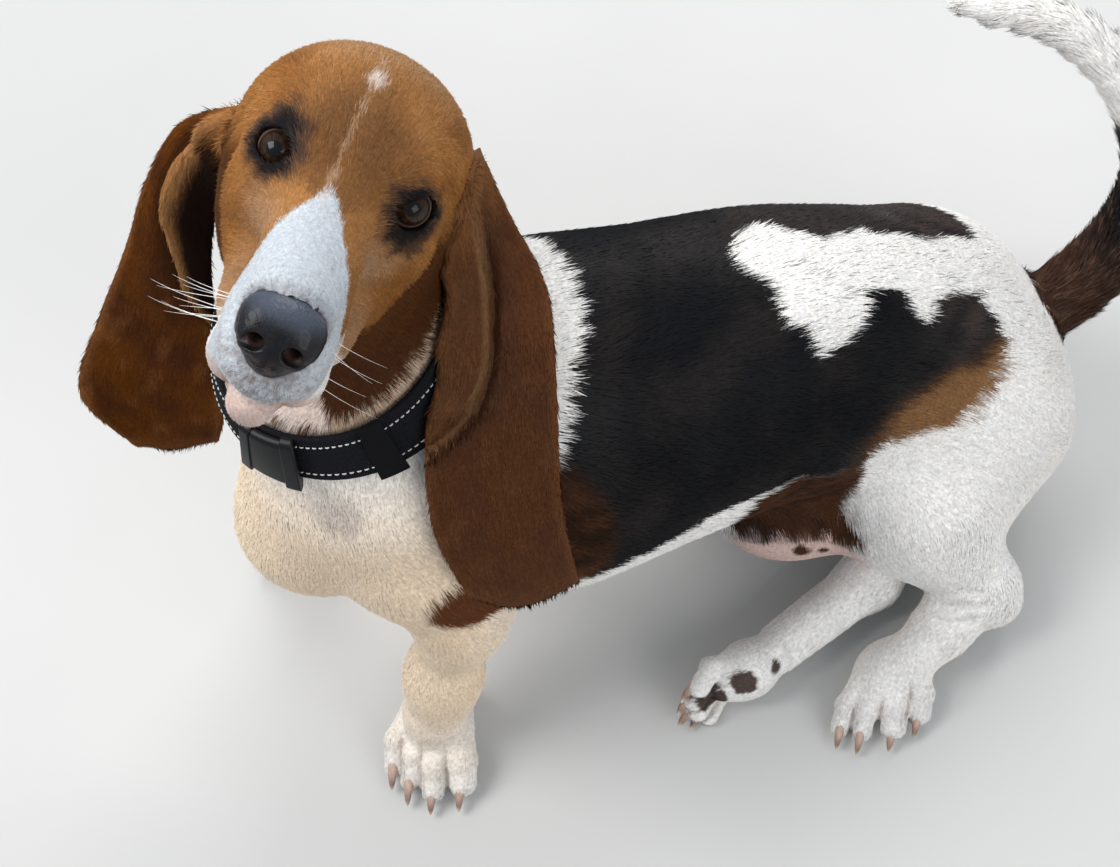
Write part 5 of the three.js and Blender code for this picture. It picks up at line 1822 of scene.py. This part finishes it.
def make_stitches():
    """Two rows of stitches along the band, each as far from its edge as the stitches are long."""
    pitch = 4.2
    flat = 0 * collar_angles
    run = length(np.diff(on_collar(collar_angles, flat, COLLAR_THICK + flat), axis=0)).sum()
    count = int(run / pitch)
    span = 2 * np.pi / count * 0.30
    u = np.linspace(-1, 1, 7)
    parts = []
    for level in (-COLLAR_WIDTH / 2 + pitch, COLLAR_WIDTH / 2 - pitch):
        for k in range(count):
            a = -np.pi + 2 * np.pi * (k + 0.5) / count
            line = on_collar(a + u * span, level + 0 * u, COLLAR_THICK + 0.12 + 0.30 * (1 - u**2))
            parts.append(tube(line, 0.42 * (1 - 0.45 * u**4), 6))
    thread = plain_material("stitching", (0.50, 0.49, 0.46), 0.6, scale=900, bumps=0.4)
    new_piece("stitching", *together(parts), "stitching", [thread])


def make_bars(name, bars, material):
    """A fitting on the band, from bars given as two angles, a number of steps and an outline."""
    parts = []
    for start, end, steps, outline in bars:
        angles = np.linspace(math.radians(start), math.radians(end), steps)
        parts.append(swept(angles, rounded(*outline), False))
    new_piece(name, *together(parts), "buckle", [material], nodes=["collar_" + name])


make_band()
make_stitches()
make_bars(
    "slide",
    [(-92, -80, 26, (COLLAR_WIDTH + 4.5, 2.4, 0.9, 3.4))],
    plain_material("slide", (0.004, 0.004, 0.0045), 0.5, scale=700, bumps=0.15, specular=0.06),
)
make_bars(
    "buckle",
    [
        (-151.5, -124.5, 50, (COLLAR_WIDTH + 1.5, 5.4, 2.3, 3.5)),
        (-152, -147, 14, (COLLAR_WIDTH + 5.5, 6.2, 2.6, 3.4)),
        (-130, -124, 14, (COLLAR_WIDTH + 5.5, 6.2, 2.6, 3.4)),
    ],
    plain_material("buckle", (0.007, 0.007, 0.0075), 0.32, scale=900, bumps=0.12, specular=0.14),
)


# The floor, the light and the camera
scene = bpy.context.scene


def show(name, data):
    """An object made from data, linked into the scene."""
    made = bpy.data.objects.new(name, data)
    scene.collection.objects.link(made)
    return made


def stage_and_light():
    mesh = bpy.data.meshes.new("floor")
    mesh.from_pydata([(-6, -6, 0), (6, -6, 0), (6, 6, 0), (-6, 6, 0)], [], [(0, 1, 2, 3)])
    floor = show("floor", mesh)
    mesh.materials.append(plain_material("floor", (0.50, 0.49, 0.47), 0.8, scale=3, low=0.97, high=1.03))
    for name, place, size, power in (
        ("key", (-1.2, 0.5, 1.9), 1.2, 40),
        ("fill", (0.7, -1.9, 1.3), 1.6, 26),
        ("back", (1.1, 1.3, 1.6), 1.2, 34),
    ):
        light = bpy.data.lights.new(name, "AREA")
        light.size = size
        light.energy = power
        lamp = show(name, light)
        lamp.location = place
        way = Vector(tuple(-unit(np.array(place) - (0, 0, 0.2))))
        lamp.rotation_euler = way.to_track_quat("-Z", "Y").to_euler()
    world = bpy.data.worlds.new("studio")
    world.use_nodes = True
    sky = world.node_tree.nodes["Background"]
    set_values(sky, {"Color": (0.80, 0.88, 1.0, 1), "Strength": 0.62})
    scene.world = world
    scene.view_settings.view_transform = "Standard"


# The photograph's camera: its lens, its place and the ways behind it and above it
LENS = 57.857
CAMERA_PLACE = (-171.2, -459.9, 1153.1)
CAMERA_BACK = (-0.08634, -0.43066, 0.89837)
CAMERA_UP = (0.37746, 0.82037, 0.42955)


def photo_camera():
    data = bpy.data.cameras.new("photo")
    data.sensor_width = 36
    data.lens = LENS
    data.clip_start = 0.05
    data.clip_end = 50
    back = unit(CAMERA_BACK)
    right = unit(np.cross(CAMERA_UP, back))
    turn = Matrix([list(row) for row in np.column_stack([right, np.cross(back, right), back])]).to_4x4()
    scene.camera = show("photo", data)
    scene.camera.matrix_world = Matrix.Translation(to_row(CAMERA_PLACE)) @ turn


stage_and_light()
photo_camera()
